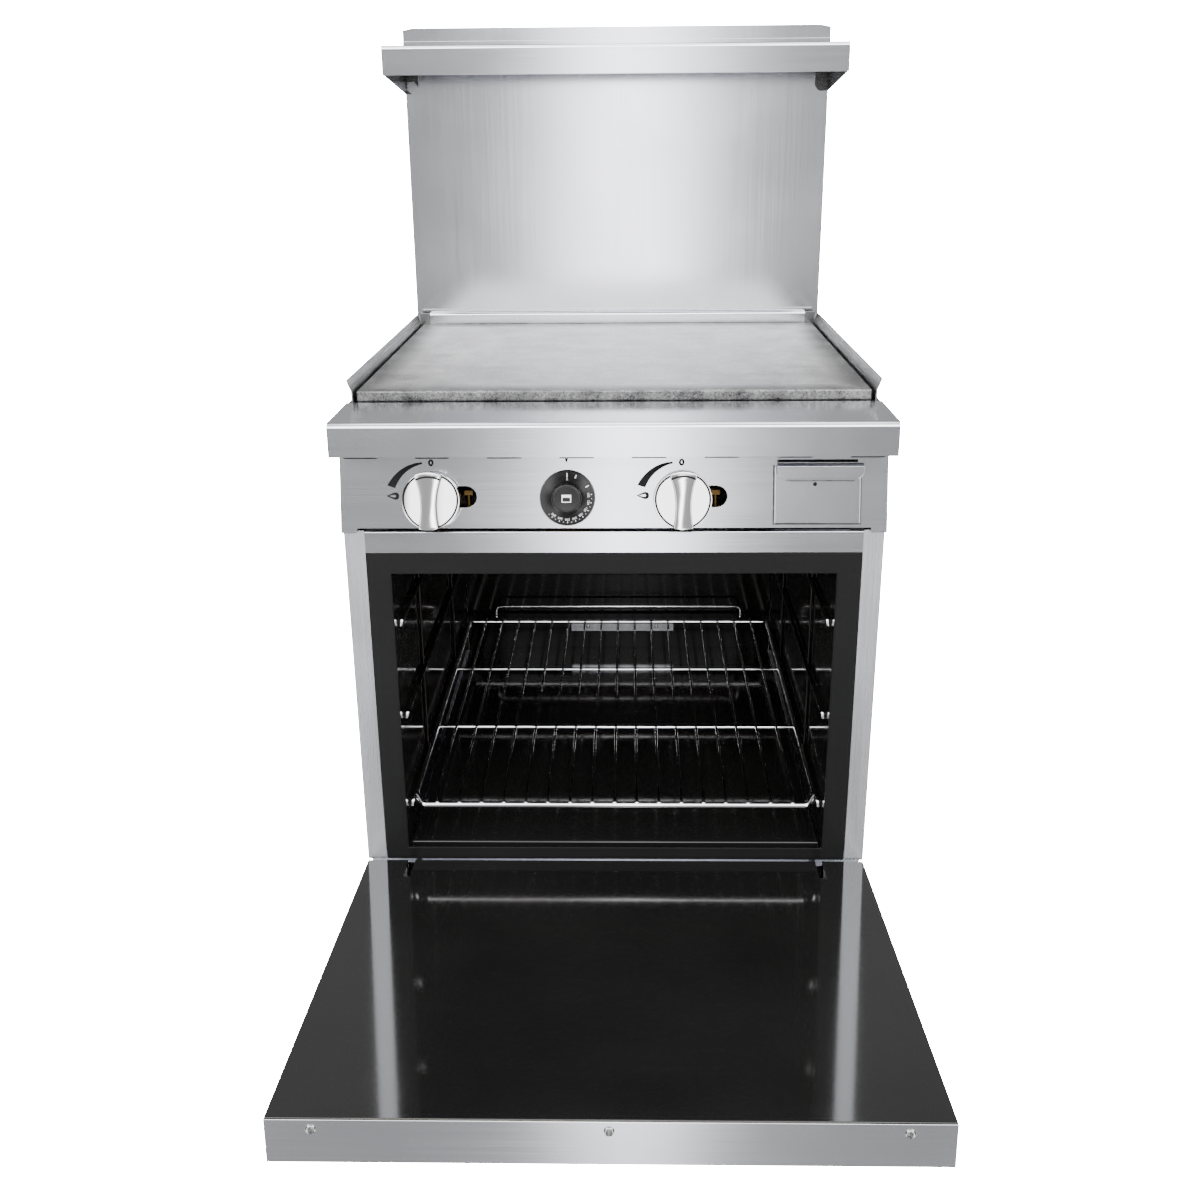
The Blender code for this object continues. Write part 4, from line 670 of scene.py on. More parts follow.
rack_wires.append(wire("stop_hoop", hoop_path, HOOP_WIRE, HOOP_BEND, fineness=5))
one_path = [(0, front - 0.0022, -FRONT_DIP), (0, dip_y + DIP_RUN, 0), (0, back + 0.0022, 0)]
one_wire = wire("one_wire", one_path, RACK_WIRE, 0.008)
pitch = 2 * edge / (RACK_WIRES + 1)
places = [((i - (RACK_WIRES - 1) / 2) * pitch, 0, 0) for i in range(RACK_WIRES)]
one_wire = settled("one_wire", chrome, one_wire)
rack_wires.append(set_out("rack_wires", one_wire, places, chrome, Matrix.Translation((0, 0, wires_z))))
fitted(settled("wire_rack", chrome, *rack_wires, smooth_over=50), "oven_rack", ["oven_rack"])
bpy.data.objects.remove(one_wire)

# Header and control panel. Folded stainless sheet with punched stem holes, sights and vents; the marks
# by the knobs are printed on it in black. The valves and pilots behind it are brass, the pipes iron.
PANEL_TILT = math.radians(13)
KNOB_X, KNOB_UP = (-0.2015, 0.0773), 0.037
DIAL_X, DIAL_UP = -0.0505, 0.0395
PRINT = 0.00006
ZERO_UP, POINTER_UP, MARKS_LEFT = 0.0785, 0.0815, 0.001
FLAME_LEFT, FLAME_ABOVE = 0.0445, 0.0047

deburred("header_rail", stainless)
deburred("control_panel", stainless)
panel_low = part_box("control_panel")[0]
panel_place = Matrix.Translation((0, panel_low.y, panel_low.z)) @ Matrix.Rotation(-PANEL_TILT, 4, "X")
panel_face = panel_place @ Matrix.Rotation(math.pi / 2, 4, "X")

ink, ink_tree, ink_shader = new_finish("black_print", 0.0, 0.45, (0.006, 0.006, 0.006))
ink_shader.inputs["Specular IOR Level"].default_value = 0.12
ink_place = add_node(ink_tree, "ShaderNodeTexCoord")
ink_grain = add_node(ink_tree, "ShaderNodeTexNoise", {"Vector": ink_place.outputs["Object"], "Scale": 900.0})
varied(ink_tree, ink_shader.inputs["Roughness"], ink_grain.outputs["Fac"], 0.38, 0.55)


def printed(name, outer, inner=None, height=PRINT):
    """A printed shape on the XY plane: a filled outline, or the band between two outlines."""
    bm = bmesh.new()
    rim = [bm.verts.new((x, y, height)) for x, y in outer]
    if inner is None:
        bm.faces.new(rim)
    else:
        hole = [bm.verts.new((x, y, height)) for x, y in inner]
        for i in range(len(rim)):
            j = (i + 1) % len(rim)
            bm.faces.new((rim[i], rim[j], hole[j], hole[i]))
    sunk = bmesh.ops.extrude_face_region(bm, geom=bm.faces[:])["geom"]
    bmesh.ops.translate(
        bm, vec=(0, 0, -height * 0.9), verts=[v for v in sunk if isinstance(v, bmesh.types.BMVert)]
    )
    return worked_mesh(name, bm)


def on_face(worked, held_in, x, y, turn=0.0):
    """Moves a worked object to a spot on a face, turned about the face's normal, in degrees."""
    spot = Matrix.Translation((x, y, 0)) @ Matrix.Rotation(math.radians(turn), 4, "Z")
    worked.matrix_world = held_in @ spot @ worked.matrix_world
    return worked


def oval(wide, tall, steps=32):
    turns = [math.tau * i / steps for i in range(steps)]
    return [(wide / 2 * math.cos(a), tall / 2 * math.sin(a)) for a in turns]


def flame(long, wide, steps=40):
    """A flame lying on its side: round at the right, drawn out to a point at the left."""
    turns = [math.tau * i / steps for i in range(steps)]
    return [(long / 2 * math.cos(a), wide / 2 * math.sin(a) * math.cos(a / 2) ** 2 * 1.35) for a in turns]


def wedge(start, end, radii, widths, steps=28):
    """An arc between two angles, in degrees, that widens along its length."""
    outer, inner = [], []
    for i in range(steps + 1):
        t = i / steps
        a = math.radians(start + (end - start) * t)
        middle = radii[0] + (radii[1] - radii[0]) * t
        half = (widths[0] + (widths[1] - widths[0]) * t) / 2
        outer.append(((middle + half) * math.cos(a), (middle + half) * math.sin(a)))
        inner.append(((middle - half) * math.cos(a), (middle - half) * math.sin(a)))
    return outer + inner[::-1]


marks = []
for x in KNOB_X:
    zero = printed("off_mark", oval(0.0062, 0.0078), oval(0.0018, 0.0036))
    heat = printed("heat_wedge", wedge(105, 163, (0.0415, 0.0478), (0.0020, 0.0092)))
    fire = printed("flame_outline", flame(0.0150, 0.0092), flame(0.0080, 0.0034))
    marks += [
        on_face(zero, panel_face, x - MARKS_LEFT, ZERO_UP),
        on_face(heat, panel_face, x, KNOB_UP + 0.001),
        on_face(fire, panel_face, x - FLAME_LEFT, KNOB_UP + FLAME_ABOVE),
    ]
pointer = [
    (-0.0021, 0.0030), (-0.0014, 0.0030), (0, 0.0010), (0.0014, 0.0030), (0.0021, 0.0030),
    (0.0004, -0.0030), (-0.0004, -0.0030),
]
marks.append(on_face(printed("dial_pointer", pointer), panel_face, DIAL_X - MARKS_LEFT, POINTER_UP))
fitted(settled("panel_print", ink, *marks, smooth_over=30))

brass, brass_tree, brass_shader = new_finish("turned_brass", 1.0, 0.3, (0.72, 0.50, 0.20))
brass_place = add_node(brass_tree, "ShaderNodeTexCoord")
tarnish = add_node(
    brass_tree, "ShaderNodeTexNoise", {"Vector": brass_place.outputs["Object"], "Scale": 120.0, "Detail": 3.0}
)
varied(
    brass_tree, brass_shader.inputs["Base Color"], tarnish.outputs["Fac"],
    (0.06, 0.035, 0.012), (0.16, 0.10, 0.035),
)
varied(brass_tree, brass_shader.inputs["Roughness"], tarnish.outputs["Fac"], 0.3, 0.5)

iron, iron_tree, iron_shader = new_finish("cast_iron_skin", 0.6, 0.62, (0.06, 0.06, 0.06))
iron_place = add_node(iron_tree, "ShaderNodeTexCoord")
pits = add_node(
    iron_tree, "ShaderNodeTexNoise", {"Vector": iron_place.outputs["Object"], "Scale": 350.0, "Detail": 5.0}
)
varied(
    iron_tree, iron_shader.inputs["Base Color"], pits.outputs["Fac"],
    (0.03, 0.03, 0.03), (0.09, 0.085, 0.08),
)
iron_bump = add_node(
    iron_tree, "ShaderNodeBump", {"Height": pits.outputs["Fac"], "Strength": 0.6, "Distance": 0.0004}
)
iron_tree.links.new(iron_bump.outputs[0], iron_shader.inputs["Normal"])

for node in (
    "griddle_valve_left", "griddle_valve_right", "oven_thermostat",
    "griddle_pilot_left", "griddle_pilot_right",
):
    deburred(node, brass, radius=0.0004, over=50)
for node in ("gas_manifold", "griddle_burner_left", "griddle_burner_right", "oven_burner"):
    deburred(node, iron, radius=0.0008, over=60)

# Knobs. Die-cast and chromed: a round base with two sloping flats cut into it and a waisted bar to grip, with
# dark reflections painted into the chrome's colour on the bar's sides and in a line round the rim. The dial
# is moulded in black with a white scale, and all three push onto their stems.
CONTROL_LIFT = 0.0025
KNOB_RADIUS, KNOB_CROWN, KNOB_TOP = 0.0325, 0.0235, 0.0340
FACE_SLOPE, FACE_START, RIM_REFLECTION_AT = math.radians(15.7), 0.002, 0.0300
GRIP_WAIST, GRIP_WAIST_UP, GRIP_TOP, GRIP_FOOT, GRIP_FLOOR = 0.0085, -0.006, 0.0170, 0.0115, 0.0205
DARK_WITHIN, DARK_STEEPNESS, LINE_HALF_WIDTH, MASK_OUT = 0.0185, 0.45, 0.0011, 0.019
CUTTER_WIDE, CUTTER_LONG, CUTTER_TALL = 0.06, 0.1, 0.04
STEM_BORE, BORE_TOP = 0.0046, 0.0195

knob_chrome, knob_tree, knob_shader = new_finish("knob_chrome", 1.0, 0.08, (0.93, 0.93, 0.94))
knob_spot = add_node(knob_tree, "ShaderNodeTexCoord")
# Masks for the dark reflections painted on the knobs: the bar's steep sides and a line round the rim.
knob_across = add_node(knob_tree, "ShaderNodeSeparateXYZ", {0: knob_spot.outputs["Object"]})
from_middle = add_node(
    knob_tree, "ShaderNodeMath", {0: knob_across.outputs["X"], 1: sum(KNOB_X) / 2}, operation="SUBTRACT"
)
either_side = add_node(knob_tree, "ShaderNodeMath", {0: from_middle.outputs[0]}, operation="ABSOLUTE")
off_centre = add_node(
    knob_tree, "ShaderNodeMath", {0: either_side.outputs[0], 1: (KNOB_X[1] - KNOB_X[0]) / 2},
    operation="SUBTRACT",
)
off_axis = add_node(knob_tree, "ShaderNodeMath", {0: off_centre.outputs[0]}, operation="ABSOLUTE")
near_bar = add_node(
    knob_tree, "ShaderNodeMath", {0: off_axis.outputs[0], 1: DARK_WITHIN}, operation="LESS_THAN"
)
facing_parts = add_node(knob_tree, "ShaderNodeSeparateXYZ", {0: knob_spot.outputs["Normal"]})
sidelong = add_node(knob_tree, "ShaderNodeMath", {0: facing_parts.outputs["X"]}, operation="ABSOLUTE")
on_side = add_node(
    knob_tree, "ShaderNodeMath", {0: sidelong.outputs[0], 1: DARK_STEEPNESS}, operation="GREATER_THAN"
)
bar_side_reflection = add_node(
    knob_tree, "ShaderNodeMath", {0: near_bar.outputs[0], 1: on_side.outputs[0]}, operation="MULTIPLY"
)
knob_middle_z = panel_low.z + KNOB_UP * math.cos(PANEL_TILT) + MASK_OUT * math.sin(PANEL_TILT)
up_face = add_node(
    knob_tree, "ShaderNodeMapRange",
    {
        "Value": knob_across.outputs["Z"], "From Min": knob_middle_z,
        "From Max": knob_middle_z + math.cos(PANEL_TILT),
    },
    clamp=False,
)
from_axis = add_node(knob_tree, "ShaderNodeCombineXYZ", {"X": off_centre.outputs[0], "Y": up_face.outputs[0]})
out_from_axis = add_node(knob_tree, "ShaderNodeVectorMath", {0: from_axis.outputs[0]}, operation="LENGTH")
rim_reflection_line = add_node(
    knob_tree, "ShaderNodeMath", {0: out_from_axis.outputs["Value"], 1: RIM_REFLECTION_AT, 2: LINE_HALF_WIDTH},
    operation="COMPARE",
)
# Painted dark reflection: the chrome is coloured near black and made rougher on the bar's sides and in the
# rim line.
painted_reflection = add_node(
    knob_tree, "ShaderNodeMath", {0: bar_side_reflection.outputs[0], 1: rim_reflection_line.outputs[0]}, operation="MAXIMUM"
)
varied(
    knob_tree, knob_shader.inputs["Base Color"], painted_reflection.outputs[0],
    (0.93, 0.93, 0.94), (0.02, 0.02, 0.02),
)
varied(knob_tree, knob_shader.inputs["Roughness"], painted_reflection.outputs[0], 0.08, 0.35)


def grip_outline(steps=26):
    """The bar's outline: waisted below its middle, wider at its top than at its foot."""
    reach = KNOB_RADIUS * 0.985
    right = []
    for i in range(steps + 1):
        up = -reach * math.cos(math.pi * i / steps)
        if up > GRIP_WAIST_UP:
            end_wide, share = GRIP_TOP, (up - GRIP_WAIST_UP) / (reach - GRIP_WAIST_UP)
        else:
            end_wide, share = GRIP_FOOT, (GRIP_WAIST_UP - up) / (reach + GRIP_WAIST_UP)
        wide = GRIP_WAIST + (end_wide - GRIP_WAIST) * share ** 2
        right.append((min(wide, math.sqrt(KNOB_RADIUS ** 2 * 0.972 - up * up)), up))
    return right + [(-x, y) for x, y in reversed(right)]


for word, x in zip(("left", "right"), KNOB_X):
    knob_place = panel_face @ Matrix.Translation((x, KNOB_UP, 0))
    r, crown = KNOB_RADIUS, KNOB_CROWN
    profile = [
        (0, crown), (r * 0.965, crown), (r * 0.992, crown * 0.45), (r, crown * 0.3),
        (r, CONTROL_LIFT + 0.0008), (r - 0.0008, CONTROL_LIFT), (STEM_BORE, CONTROL_LIFT),
        (STEM_BORE, BORE_TOP), (0, BORE_TOP),
    ]
    base = lathed(f"knob_base_{word}", profile, knob_place, 96)
    bm = bmesh.new()
    for way in (-1, 1):
        tilt = Matrix.Rotation(way * FACE_SLOPE, 4, "Y")
        cut_x = way * (CUTTER_WIDE / 2 + FACE_START - crown * math.sin(FACE_SLOPE))
        spot = Matrix.Translation((cut_x, 0, crown * math.cos(FACE_SLOPE) + CUTTER_TALL / 2))
        sized = Matrix.Diagonal((CUTTER_WIDE, CUTTER_LONG, CUTTER_TALL, 1))
        bmesh.ops.create_cube(bm, size=1, matrix=tilt @ spot @ sized)
    facing_cut = worked_mesh("face_cutter", bm, knob_place)
    cut = base.modifiers.new("faces", "BOOLEAN")
    cut.operation = "DIFFERENCE"
    cut.use_self = True
    cut.object = facing_cut
    rounded_edges(base, 0.0013, 4, 45)
    bm = bmesh.new()
    outline = bm.faces.new([bm.verts.new((px, py, KNOB_TOP)) for px, py in grip_outline()])
    sunk = bmesh.ops.extrude_face_region(bm, geom=[outline])["geom"]
    bmesh.ops.translate(
        bm, vec=(0, 0, GRIP_FLOOR - KNOB_TOP), verts=[v for v in sunk if isinstance(v, bmesh.types.BMVert)]
    )
    grip = rounded_edges(worked_mesh(f"knob_grip_{word}", bm, knob_place), 0.0011, 4, 40)
    union = base.modifiers.new("grip", "BOOLEAN")
    union.operation = "UNION"
    union.object = grip
    piece = settled(f"chrome_knob_{word}", knob_chrome, base, smooth_over=20)
    bpy.data.objects.remove(grip)
    bpy.data.objects.remove(facing_cut)
    fitted(piece, f"knob_{word}", [f"knob_{word}"])

DIAL_RADIUS, HUB_RADIUS, DIAL_TOP = 0.031, 0.0165, 0.029
SKIRT_HIGH, SKIRT_LOW, SKIRT_EDGE = 0.0085, 0.0055, 0.0030
plastic, resin, resin_shader = new_finish("black_moulding", 0.0, 0.32, (0.007, 0.007, 0.007))
resin_shader.inputs["Specular IOR Level"].default_value = 0.3
resin_place = add_node(resin, "ShaderNodeTexCoord")
stipple = add_node(resin, "ShaderNodeTexNoise", {"Vector": resin_place.outputs["Object"], "Scale": 1500.0})
varied(resin, resin_shader.inputs["Roughness"], stipple.outputs["Fac"], 0.24, 0.42)
resin_bump = add_node(
    resin, "ShaderNodeBump", {"Height": stipple.outputs["Fac"], "Strength": 0.15, "Distance": 0.0001}
)
resin.links.new(resin_bump.outputs[0], resin_shader.inputs["Normal"])

white_ink, white_tree, white_shader = new_finish("white_print", 0.0, 0.5, (0.80, 0.80, 0.80))
white_place = add_node(white_tree, "ShaderNodeTexCoord")
wear = add_node(white_tree, "ShaderNodeTexNoise", {"Vector": white_place.outputs["Object"], "Scale": 700.0})
varied(
    white_tree, white_shader.inputs["Base Color"], wear.outputs["Fac"],
    (0.66, 0.66, 0.66), (0.88, 0.88, 0.88),
)

dial_place = panel_face @ Matrix.Translation((DIAL_X, DIAL_UP, 0))
r, hub, top, lift = DIAL_RADIUS, HUB_RADIUS, DIAL_TOP, CONTROL_LIFT
profile = [
    (0, top - 0.0006), (hub * 0.70, top - 0.0005), (hub - 0.0026, top), (hub - 0.0016, top - 0.0002),
    (hub - 0.0006, top - 0.0010), (hub - 0.0001, top - 0.0026), (hub + 0.0002, lift + 0.014),
    (hub + 0.0006, lift + SKIRT_HIGH + 0.0012), (hub + 0.0018, lift + SKIRT_HIGH),
    (r - 0.0030, lift + SKIRT_LOW), (r - 0.0012, lift + SKIRT_LOW - 0.0005), (r - 0.0002, lift + SKIRT_EDGE),
    (r, lift + 0.0016), (r, lift + 0.0004), (r - 0.0004, lift), (STEM_BORE, lift),
    (STEM_BORE, BORE_TOP), (0, BORE_TOP),
]
moulding = lathed("dial_body", profile, dial_place, 96)
fitted(
    settled("moulded_dial", plastic, moulding, smooth_over=38), "oven_dial", ["oven_dial"]
)

SKIRT_SLOPE = math.atan2(SKIRT_HIGH - SKIRT_LOW, r - 0.0030 - hub - 0.0018)


def on_skirt(angle, out):
    """A frame on the dial's sloping skirt, clockwise from its top, with its Y pointing outwards."""
    z = lift + SKIRT_HIGH - (out - hub - 0.0018) * math.tan(SKIRT_SLOPE)
    turned = Matrix.Rotation(math.radians(-angle), 4, "Z")
    return dial_place @ turned @ Matrix.Translation((0, out, z)) @ Matrix.Rotation(-SKIRT_SLOPE, 4, "X")


def numeral(text, tall):
    """Printed figures, centred on the XY plane."""
    curve = bpy.data.curves.new("numeral", "FONT")
    curve.body = text
    curve.size = tall / 0.7
    curve.align_x, curve.align_y = "CENTER", "CENTER"
    curve.extrude = PRINT / 2
    curve.resolution_u = 3
    made = bpy.data.objects.new("numeral", curve)
    bpy.context.scene.collection.objects.link(made)
    made.matrix_world = Matrix.Translation((0, 0, PRINT / 2))
    return made


def bar(wide, tall):
    return [(-wide / 2, -tall / 2), (wide / 2, -tall / 2), (wide / 2, tall / 2), (-wide / 2, tall / 2)]


FIGURES = ("100", "120", "150", "180", "200", "230", "260", "290")
FIRST_ANGLE, FIGURE_STEP = 82, 19.5
FIGURES_OUT, TICKS_OUT, ZERO_OUT = 0.0238, 0.0270, 0.0205
scale = []
for angle, long in ((0, 0.0050), (22, 0.0042), (60, 0.0042)):
    spot = on_skirt(angle, r - 0.0030 - long / 2 - 0.0004)
    scale.append(on_face(printed("tick", bar(0.0013, long)), spot, 0, 0))
for i, figure in enumerate(FIGURES):
    angle = FIRST_ANGLE + FIGURE_STEP * i
    between = on_skirt(angle + FIGURE_STEP / 2, TICKS_OUT)
    scale.append(on_face(numeral(figure, 0.0026), on_skirt(angle, FIGURES_OUT), 0, 0))
    scale.append(on_face(printed("tick", bar(0.0008, 0.0016)), on_skirt(angle, TICKS_OUT), 0, 0))
    scale.append(on_face(printed("dot", oval(0.0009, 0.0009, 12)), between, 0, 0))
scale.append(on_face(numeral("0", 0.0030), on_skirt(0, ZERO_OUT), 0, 0))
hub_face = dial_place @ Matrix.Translation((0, 0, top - 0.0005))
square = [(0.0052, 0.0042), (-0.0052, 0.0042), (-0.0052, -0.0042), (0.0052, -0.0042)]
window = [(0.0042, 0.0012), (-0.0042, 0.0012), (-0.0042, -0.0033), (0.0042, -0.0033)]
scale.append(on_face(printed("oven_sign", square, window), hub_face, 0, 0))
scale_piece = settled("dial_scale", white_ink, *scale, smooth_over=30)
fitted(scale_piece, "oven_dial")

# Grease drawer. Folded stainless sheet; its front is turned over along the top into a grip with rounded
# corners that hangs in front of it. A black band round the front is painted shade in the gap at its edges;
# black prints on the front are painted shade in its one small hole and under the grip.
GRIP_SHEET, GRIP_HANG, GRIP_CORNER, GRIP_FOLD = 0.0012, 0.0165, 0.0100, 0.003
DRAWER_X, DRAWER_WIDTH, DRAWER_TOP_UP = 0.2265, 0.095, 0.078
grip_x = (DRAWER_X - DRAWER_WIDTH / 2 + 0.0020, DRAWER_X + DRAWER_WIDTH / 2 + 0.0028)

drawer = rounded_edges(worked_mesh("drawer", node_mesh("grease_drawer")), 0.0018, 4)
shears_low, shears_high = Vector((-0.4, -0.05, 0.0)), Vector((0.4, -0.0031, 0.2))
bm = bmesh.new()
spot = Matrix.Translation((shears_low + shears_high) / 2)
bmesh.ops.create_cube(bm, size=1, matrix=spot @ Matrix.Diagonal((*(shears_high - shears_low), 1)))
shears = worked_mesh("shears", bm, panel_place)
trim = drawer.modifiers.new("trim", "BOOLEAN")
trim.operation = "DIFFERENCE"
trim.object = shears
trim_first = drawer.modifiers.find("trim")
drawer.modifiers.move(trim_first, 0)

outline = []
for cx, start in ((grip_x[0] + GRIP_CORNER, 180), (grip_x[1] - GRIP_CORNER, 270)):
    for k in range(9):
        a = math.radians(start + 90 * k / 8)
        outline.append((cx + GRIP_CORNER * math.cos(a), GRIP_CORNER * (1 + math.sin(a))))
fold_steps = 8
bm = bmesh.new()
hang = [bm.verts.new((px, 0, py)) for px, py in outline]
hang += [bm.verts.new((px, 0, GRIP_HANG - GRIP_FOLD)) for px in reversed(grip_x)]
bm.faces.new(hang)
rows = [(hang[-1], hang[-2])]
for k in range(1, fold_steps + 1):
    a = math.radians(90 * k / fold_steps)
    y, z = GRIP_FOLD * (1 - math.cos(a)), GRIP_HANG - GRIP_FOLD + GRIP_FOLD * math.sin(a)
    rows.append(tuple(bm.verts.new((x, y, z)) for x in grip_x))
rows.append(tuple(bm.verts.new((x, 0.0098, GRIP_HANG + 0.0012)) for x in grip_x))
for first, second in zip(rows, rows[1:]):
    bm.faces.new((first[0], first[1], second[1], second[0]))
grip_place = panel_place @ Matrix.Translation((0, -0.0120, DRAWER_TOP_UP - GRIP_HANG - 0.0018))
grip = worked_mesh("drawer_grip", bm, grip_place)
thick = grip.modifiers.new("thickness", "SOLIDIFY")
thick.thickness = GRIP_SHEET
thick.offset = -1
rounded_edges(grip, 0.0005, 3, 50)
piece = settled("folded_drawer", stainless_tall, drawer)
bpy.data.objects.remove(shears)
fitted(piece, "grease_drawer", ["grease_drawer"])
fitted(settled("folded_grip", stainless, grip), "grease_drawer")

FACE_DEPTH, FACE_LAP, FACE_LOW_UP, BELOW_TOP = 0.0036, 0.0003, 0.0105, 0.004
SHADE_GAP_WIDTH, HOLE, HOLE_LEFT, HOLE_UP, GAP_UP, GAP_TALL = 0.0011, 0.0046, 0.003, 0.0540, 0.0576, 0.0008
face_bottom = FACE_LOW_UP - FACE_LAP
bm = bmesh.new()
face_size = (DRAWER_WIDTH + 2 * FACE_LAP, FACE_DEPTH - 0.0002, DRAWER_TOP_UP - face_bottom - BELOW_TOP)
face_spot = Matrix.Translation((DRAWER_X, -FACE_DEPTH / 2, face_bottom + face_size[2] / 2))
bmesh.ops.create_cube(bm, size=1, matrix=face_spot @ Matrix.Diagonal((*face_size, 1)))
face = rounded_edges(worked_mesh("drawer_face", bm, panel_place), 0.0014, 5)
fitted(settled("drawer_face", stainless_tall, face), "grease_drawer")
wide, tall = face_size[0] / 2, face_size[2] / 2
rim = [(wide, tall), (-wide, tall), (-wide, -tall), (wide, -tall)]
# Painted shade: a black band round the drawer's front for the shade in the gap round it.
shade_gap_rim = [(px + math.copysign(SHADE_GAP_WIDTH, px), py + math.copysign(SHADE_GAP_WIDTH, py)) for px, py in rim]
shade_gap = on_face(printed("drawer_seam", shade_gap_rim, rim), panel_face, DRAWER_X, face_bottom + tall)
fitted(settled("drawer_seam", ink, shade_gap, smooth_over=30))
face_front = panel_face @ Matrix.Translation((0, 0, FACE_DEPTH - 0.0001))
# Painted shade: a black disc for the shade inside the front's one small hole, and a black bar for the shadow
# under the grip.
hole = on_face(printed("drawer_hole", oval(HOLE, HOLE, 24)), face_front, DRAWER_X - HOLE_LEFT, HOLE_UP)
grip_wide = grip_x[1] - grip_x[0] - 2 * GRIP_CORNER
grip_shadow = on_face(printed("grip_gap", bar(grip_wide, GAP_TALL)), face_front, sum(grip_x) / 2, GAP_UP)
fitted(settled("drawer_hole", ink, hole, grip_shadow, smooth_over=30), "grease_drawer")

# Landing ledge and griddle. The ledge is folded stainless with welded cheeks; the plate is 12.7 mm steel
# ground bright and coloured darker along its borders, between stainless splashes; the side splashes are a
# darker copy of the steel, a painted dark reflection. A grease trough lies in front of it, with a chute
# below.
BORDER_IN, BORDER_OUT, BORDER_WANDER = 0.030, 0.004, 0.03
deburred("landing_ledge", stainless, radius=0.0004)
# The side splashes get a dark copy of the stainless: painted dark reflection.
splash_reflection_steel = brushed("painted_reflection_splash_steel", ALONG_Y, (0.36, 0.36, 0.36), (0.20, 0.20, 0.20), (0.2, 0.3))
for node in ("griddle_splash_left", "griddle_splash_right"):
    deburred(node, splash_reflection_steel, radius=0.0005)
deburred("griddle_splash_rear", stainless, over=45)
for node in ("grease_trough", "grease_chute"):
    deburred(node, stainless)

ground, stone, ground_shader = new_finish("ground_steel_plate", 1.0, 0.42, (0.55, 0.55, 0.55))
stone_place = add_node(stone, "ShaderNodeTexCoord")
mottle = add_node(
    stone, "ShaderNodeTexNoise",
    {"Vector": stone_place.outputs["Object"], "Scale": 26.0, "Detail": 6.0, "Roughness": 0.65},
)
swirl = add_node(
    stone, "ShaderNodeTexNoise",
    {"Vector": stone_place.outputs["Object"], "Scale": 420.0, "Detail": 2.0, "Distortion": 1.5},
)
stone_tone = add_node(
    stone, "ShaderNodeMath", {0: mottle.outputs["Fac"], 1: swirl.outputs["Fac"]}, operation="MULTIPLY"
)
stone_range = add_node(
    stone, "ShaderNodeMapRange", {"Value": stone_tone.outputs[0], "From Min": 0.12, "From Max": 0.38}
)
plate_low, plate_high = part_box("griddle_plate")
plate_middle = (plate_low + plate_high) / 2
# The plate's colour darkens towards its borders, to near black at the edge, along a wandering line.
borders = []
plate_spot = add_node(stone, "ShaderNodeSeparateXYZ", {0: stone_place.outputs["Object"]})
for axis in "XY":
    middle, reach = getattr(plate_middle, axis.lower()), getattr(plate_high - plate_low, axis.lower()) / 2
    off = add_node(stone, "ShaderNodeMath", {0: plate_spot.outputs[axis], 1: middle}, operation="SUBTRACT")
    out = add_node(stone, "ShaderNodeMath", {0: off.outputs[0]}, operation="ABSOLUTE")
    out = add_node(
        stone, "ShaderNodeMath", {0: stone_tone.outputs[0], 1: BORDER_WANDER, 2: out.outputs[0]},
        operation="MULTIPLY_ADD",
    )
    borders.append(add_node(
        stone, "ShaderNodeMapRange",
        {"Value": out.outputs[0], "From Min": reach - BORDER_IN, "From Max": reach - BORDER_OUT},
    ))
border = add_node(
    stone, "ShaderNodeMath", {0: borders[0].outputs[0], 1: borders[1].outputs[0]}, operation="MAXIMUM"
)
border_darkened = add_node(
    stone, "ShaderNodeMath", {0: border.outputs[0], 1: -1.0, 2: stone_range.outputs[0]},
    operation="MULTIPLY_ADD",
)
border_tone = add_node(stone, "ShaderNodeMapRange", {"Value": border_darkened.outputs[0], "From Min": -1.0})
varied(
    stone, ground_shader.inputs["Base Color"], border_tone.outputs[0],
    (0.02, 0.02, 0.02), (0.62, 0.62, 0.61),
)
varied(stone, ground_shader.inputs["Roughness"], mottle.outputs["Fac"], 0.30, 0.50)
scratches = add_node(
    stone, "ShaderNodeBump", {"Height": swirl.outputs["Fac"], "Strength": 0.3, "Distance": 0.0001}
)
stone.links.new(scratches.outputs[0], ground_shader.inputs["Normal"])
deburred("griddle_plate", ground, radius=0.0004)

# Backguard, flue and high shelf. Folded stainless sheet on a U-shaped back, with a galvanised duct inside for
# the flue gases; the shelf hangs on two gussets in a dark steel that paints the shade under the shelf.
deburred("backguard_front", stainless_tall)
deburred("backguard_back", stainless_tall)
deburred("flue_duct", galvanised)
deburred("high_shelf", stainless, radius=0.0004)
# The gussets' dark steel is painted shade: they stand in the shadow of the shelf.
shelf_shade_steel = brushed("painted_shade_bracket_steel", ALONG_Y, (0.10, 0.10, 0.10), (0.05, 0.05, 0.05), (0.22, 0.30))
for word in ("left", "right"):
    deburred(f"shelf_bracket_{word}", shelf_shade_steel)

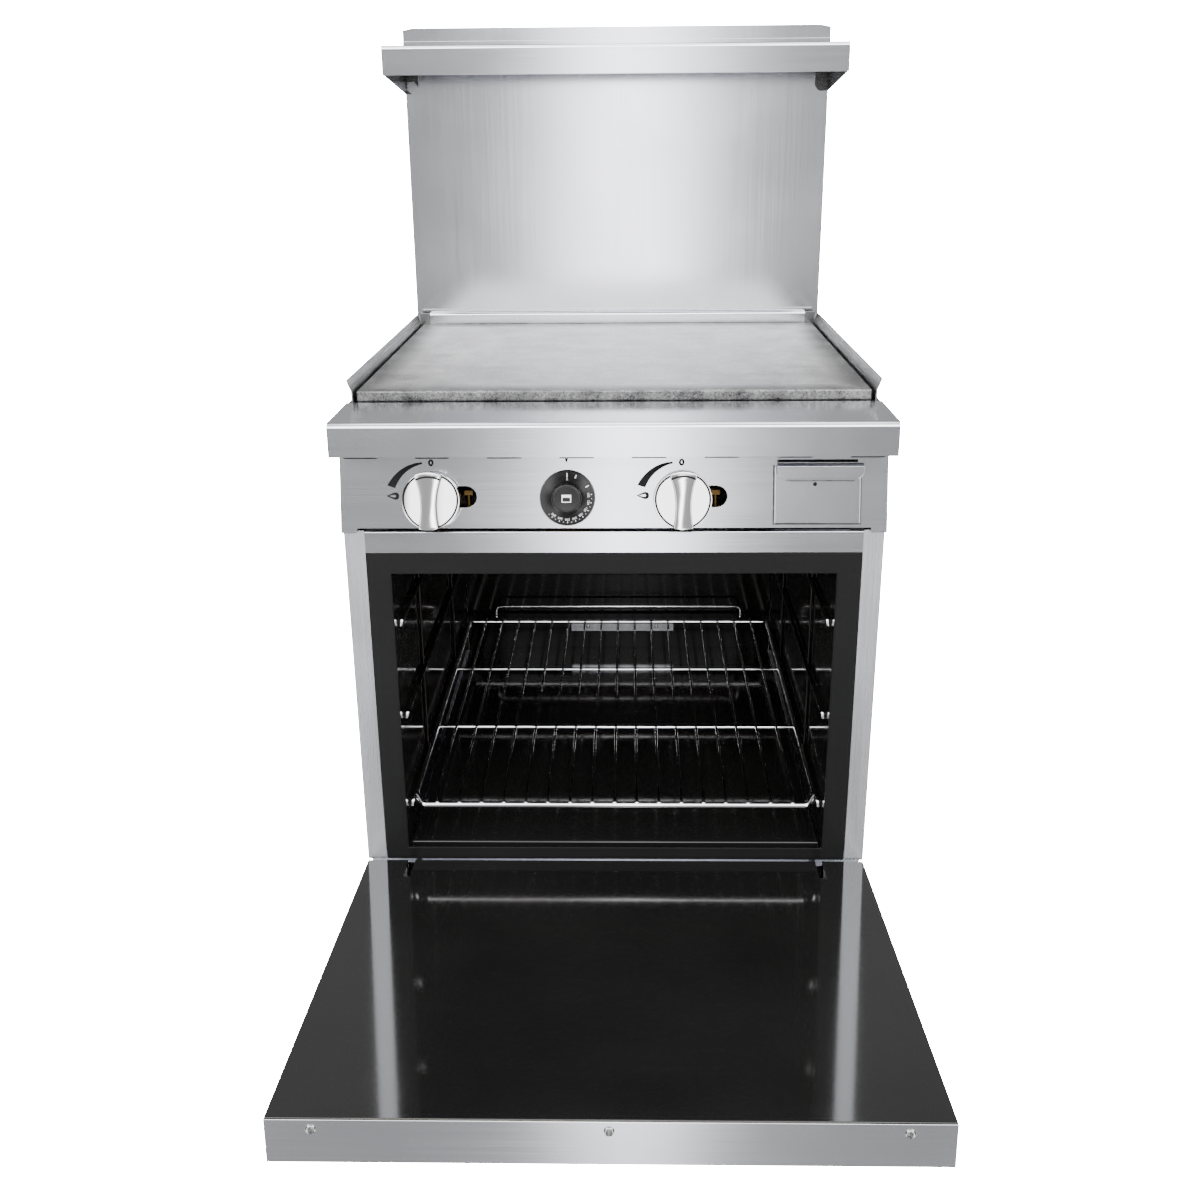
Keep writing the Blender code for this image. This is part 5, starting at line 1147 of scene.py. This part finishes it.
# Door. A stainless tray closed by an enamelled inner panel, with a tube handle on welded posts and a
# galvanised arm at each hinge; three pan-head screws hold the panel along the free edge.
HANDLE_RADIUS, HANDLE_LENGTH, HANDLE_OUT, HANDLE_BELOW = 0.0125, 0.460, 0.045, 0.080
POST_RADIUS, POST_INSET = 0.0085, 0.035
DOOR_OPEN, DOOR_INNER, DOOR_OUTER, DOOR_TOP = math.radians(86), 0.039, -0.007, 0.457438
hinge = next(joint for joint in frame["joints"] if joint["name"] == "door_hinge")
door_place = Matrix.Translation(hinge["pos_m"]) @ Matrix.Rotation(DOOR_OPEN, 4, "X")
deburred("door_shell", stainless, "oven_door", radius=0.0006)
deburred("door_inner_panel", door_enamel, "oven_door", radius=0.0014)
for word in ("left", "right"):
    deburred(f"hinge_bracket_{word}", galvanised)
    deburred(f"door_hinge_{word}", galvanised, "oven_door")

half, r = HANDLE_LENGTH / 2, HANDLE_RADIUS
ends = [(0, half), (r * 0.80, half), (r * 0.93, half - 0.0006), (r, half - 0.0020)]
profile = ends + [(radius, -height) for radius, height in reversed(ends)]
bar_place = door_place @ Matrix.Translation((0, DOOR_OUTER - HANDLE_OUT, DOOR_TOP - HANDLE_BELOW))
handle = [lathed("handle_tube", profile, bar_place @ Matrix.Rotation(math.pi / 2, 4, "Y"), 48)]
post, reach = POST_RADIUS, HANDLE_OUT - 0.0003
post_profile = [
    (0, 0), (post, 0), (post, reach - 0.0060), (post + 0.0012, reach - 0.0026),
    (post + 0.0035, reach - 0.0008), (post + 0.0040, reach), (0, reach),
]
for x in (-half + POST_INSET, half - POST_INSET):
    spot = bar_place @ Matrix.Translation((x, 0, 0)) @ Matrix.Rotation(-math.pi / 2, 4, "X")
    handle.append(lathed("handle_post", post_profile[::-1], spot, 40))
fitted(settled("tube_handle", stainless, *handle, smooth_over=35), "oven_door", ["door_handle"])

SCREW_X, SCREW_BELOW, SCREW_RADIUS, SCREW_HEIGHT = 0.263, 0.0112, 0.0048, 0.0022
edge_face = door_place @ Matrix.Translation((0, DOOR_INNER - SCREW_BELOW, DOOR_TOP))
panel_screw = pan_head(SCREW_RADIUS, SCREW_HEIGHT)
places = [(-SCREW_X, 0, 0), (0, 0, 0), (SCREW_X, 0, 0)]
screw_steel = brushed("screw_steel", ALONG_X, (0.34, 0.34, 0.34), (0.24, 0.24, 0.24), (0.18, 0.26))
screws = set_out("door_screws", panel_screw, places, screw_steel, edge_face, random_turn=3.0, seed=2)
fitted(settled("door_screws", screw_steel, screws, smooth_over=30), "oven_door")
bpy.data.objects.remove(panel_screw)
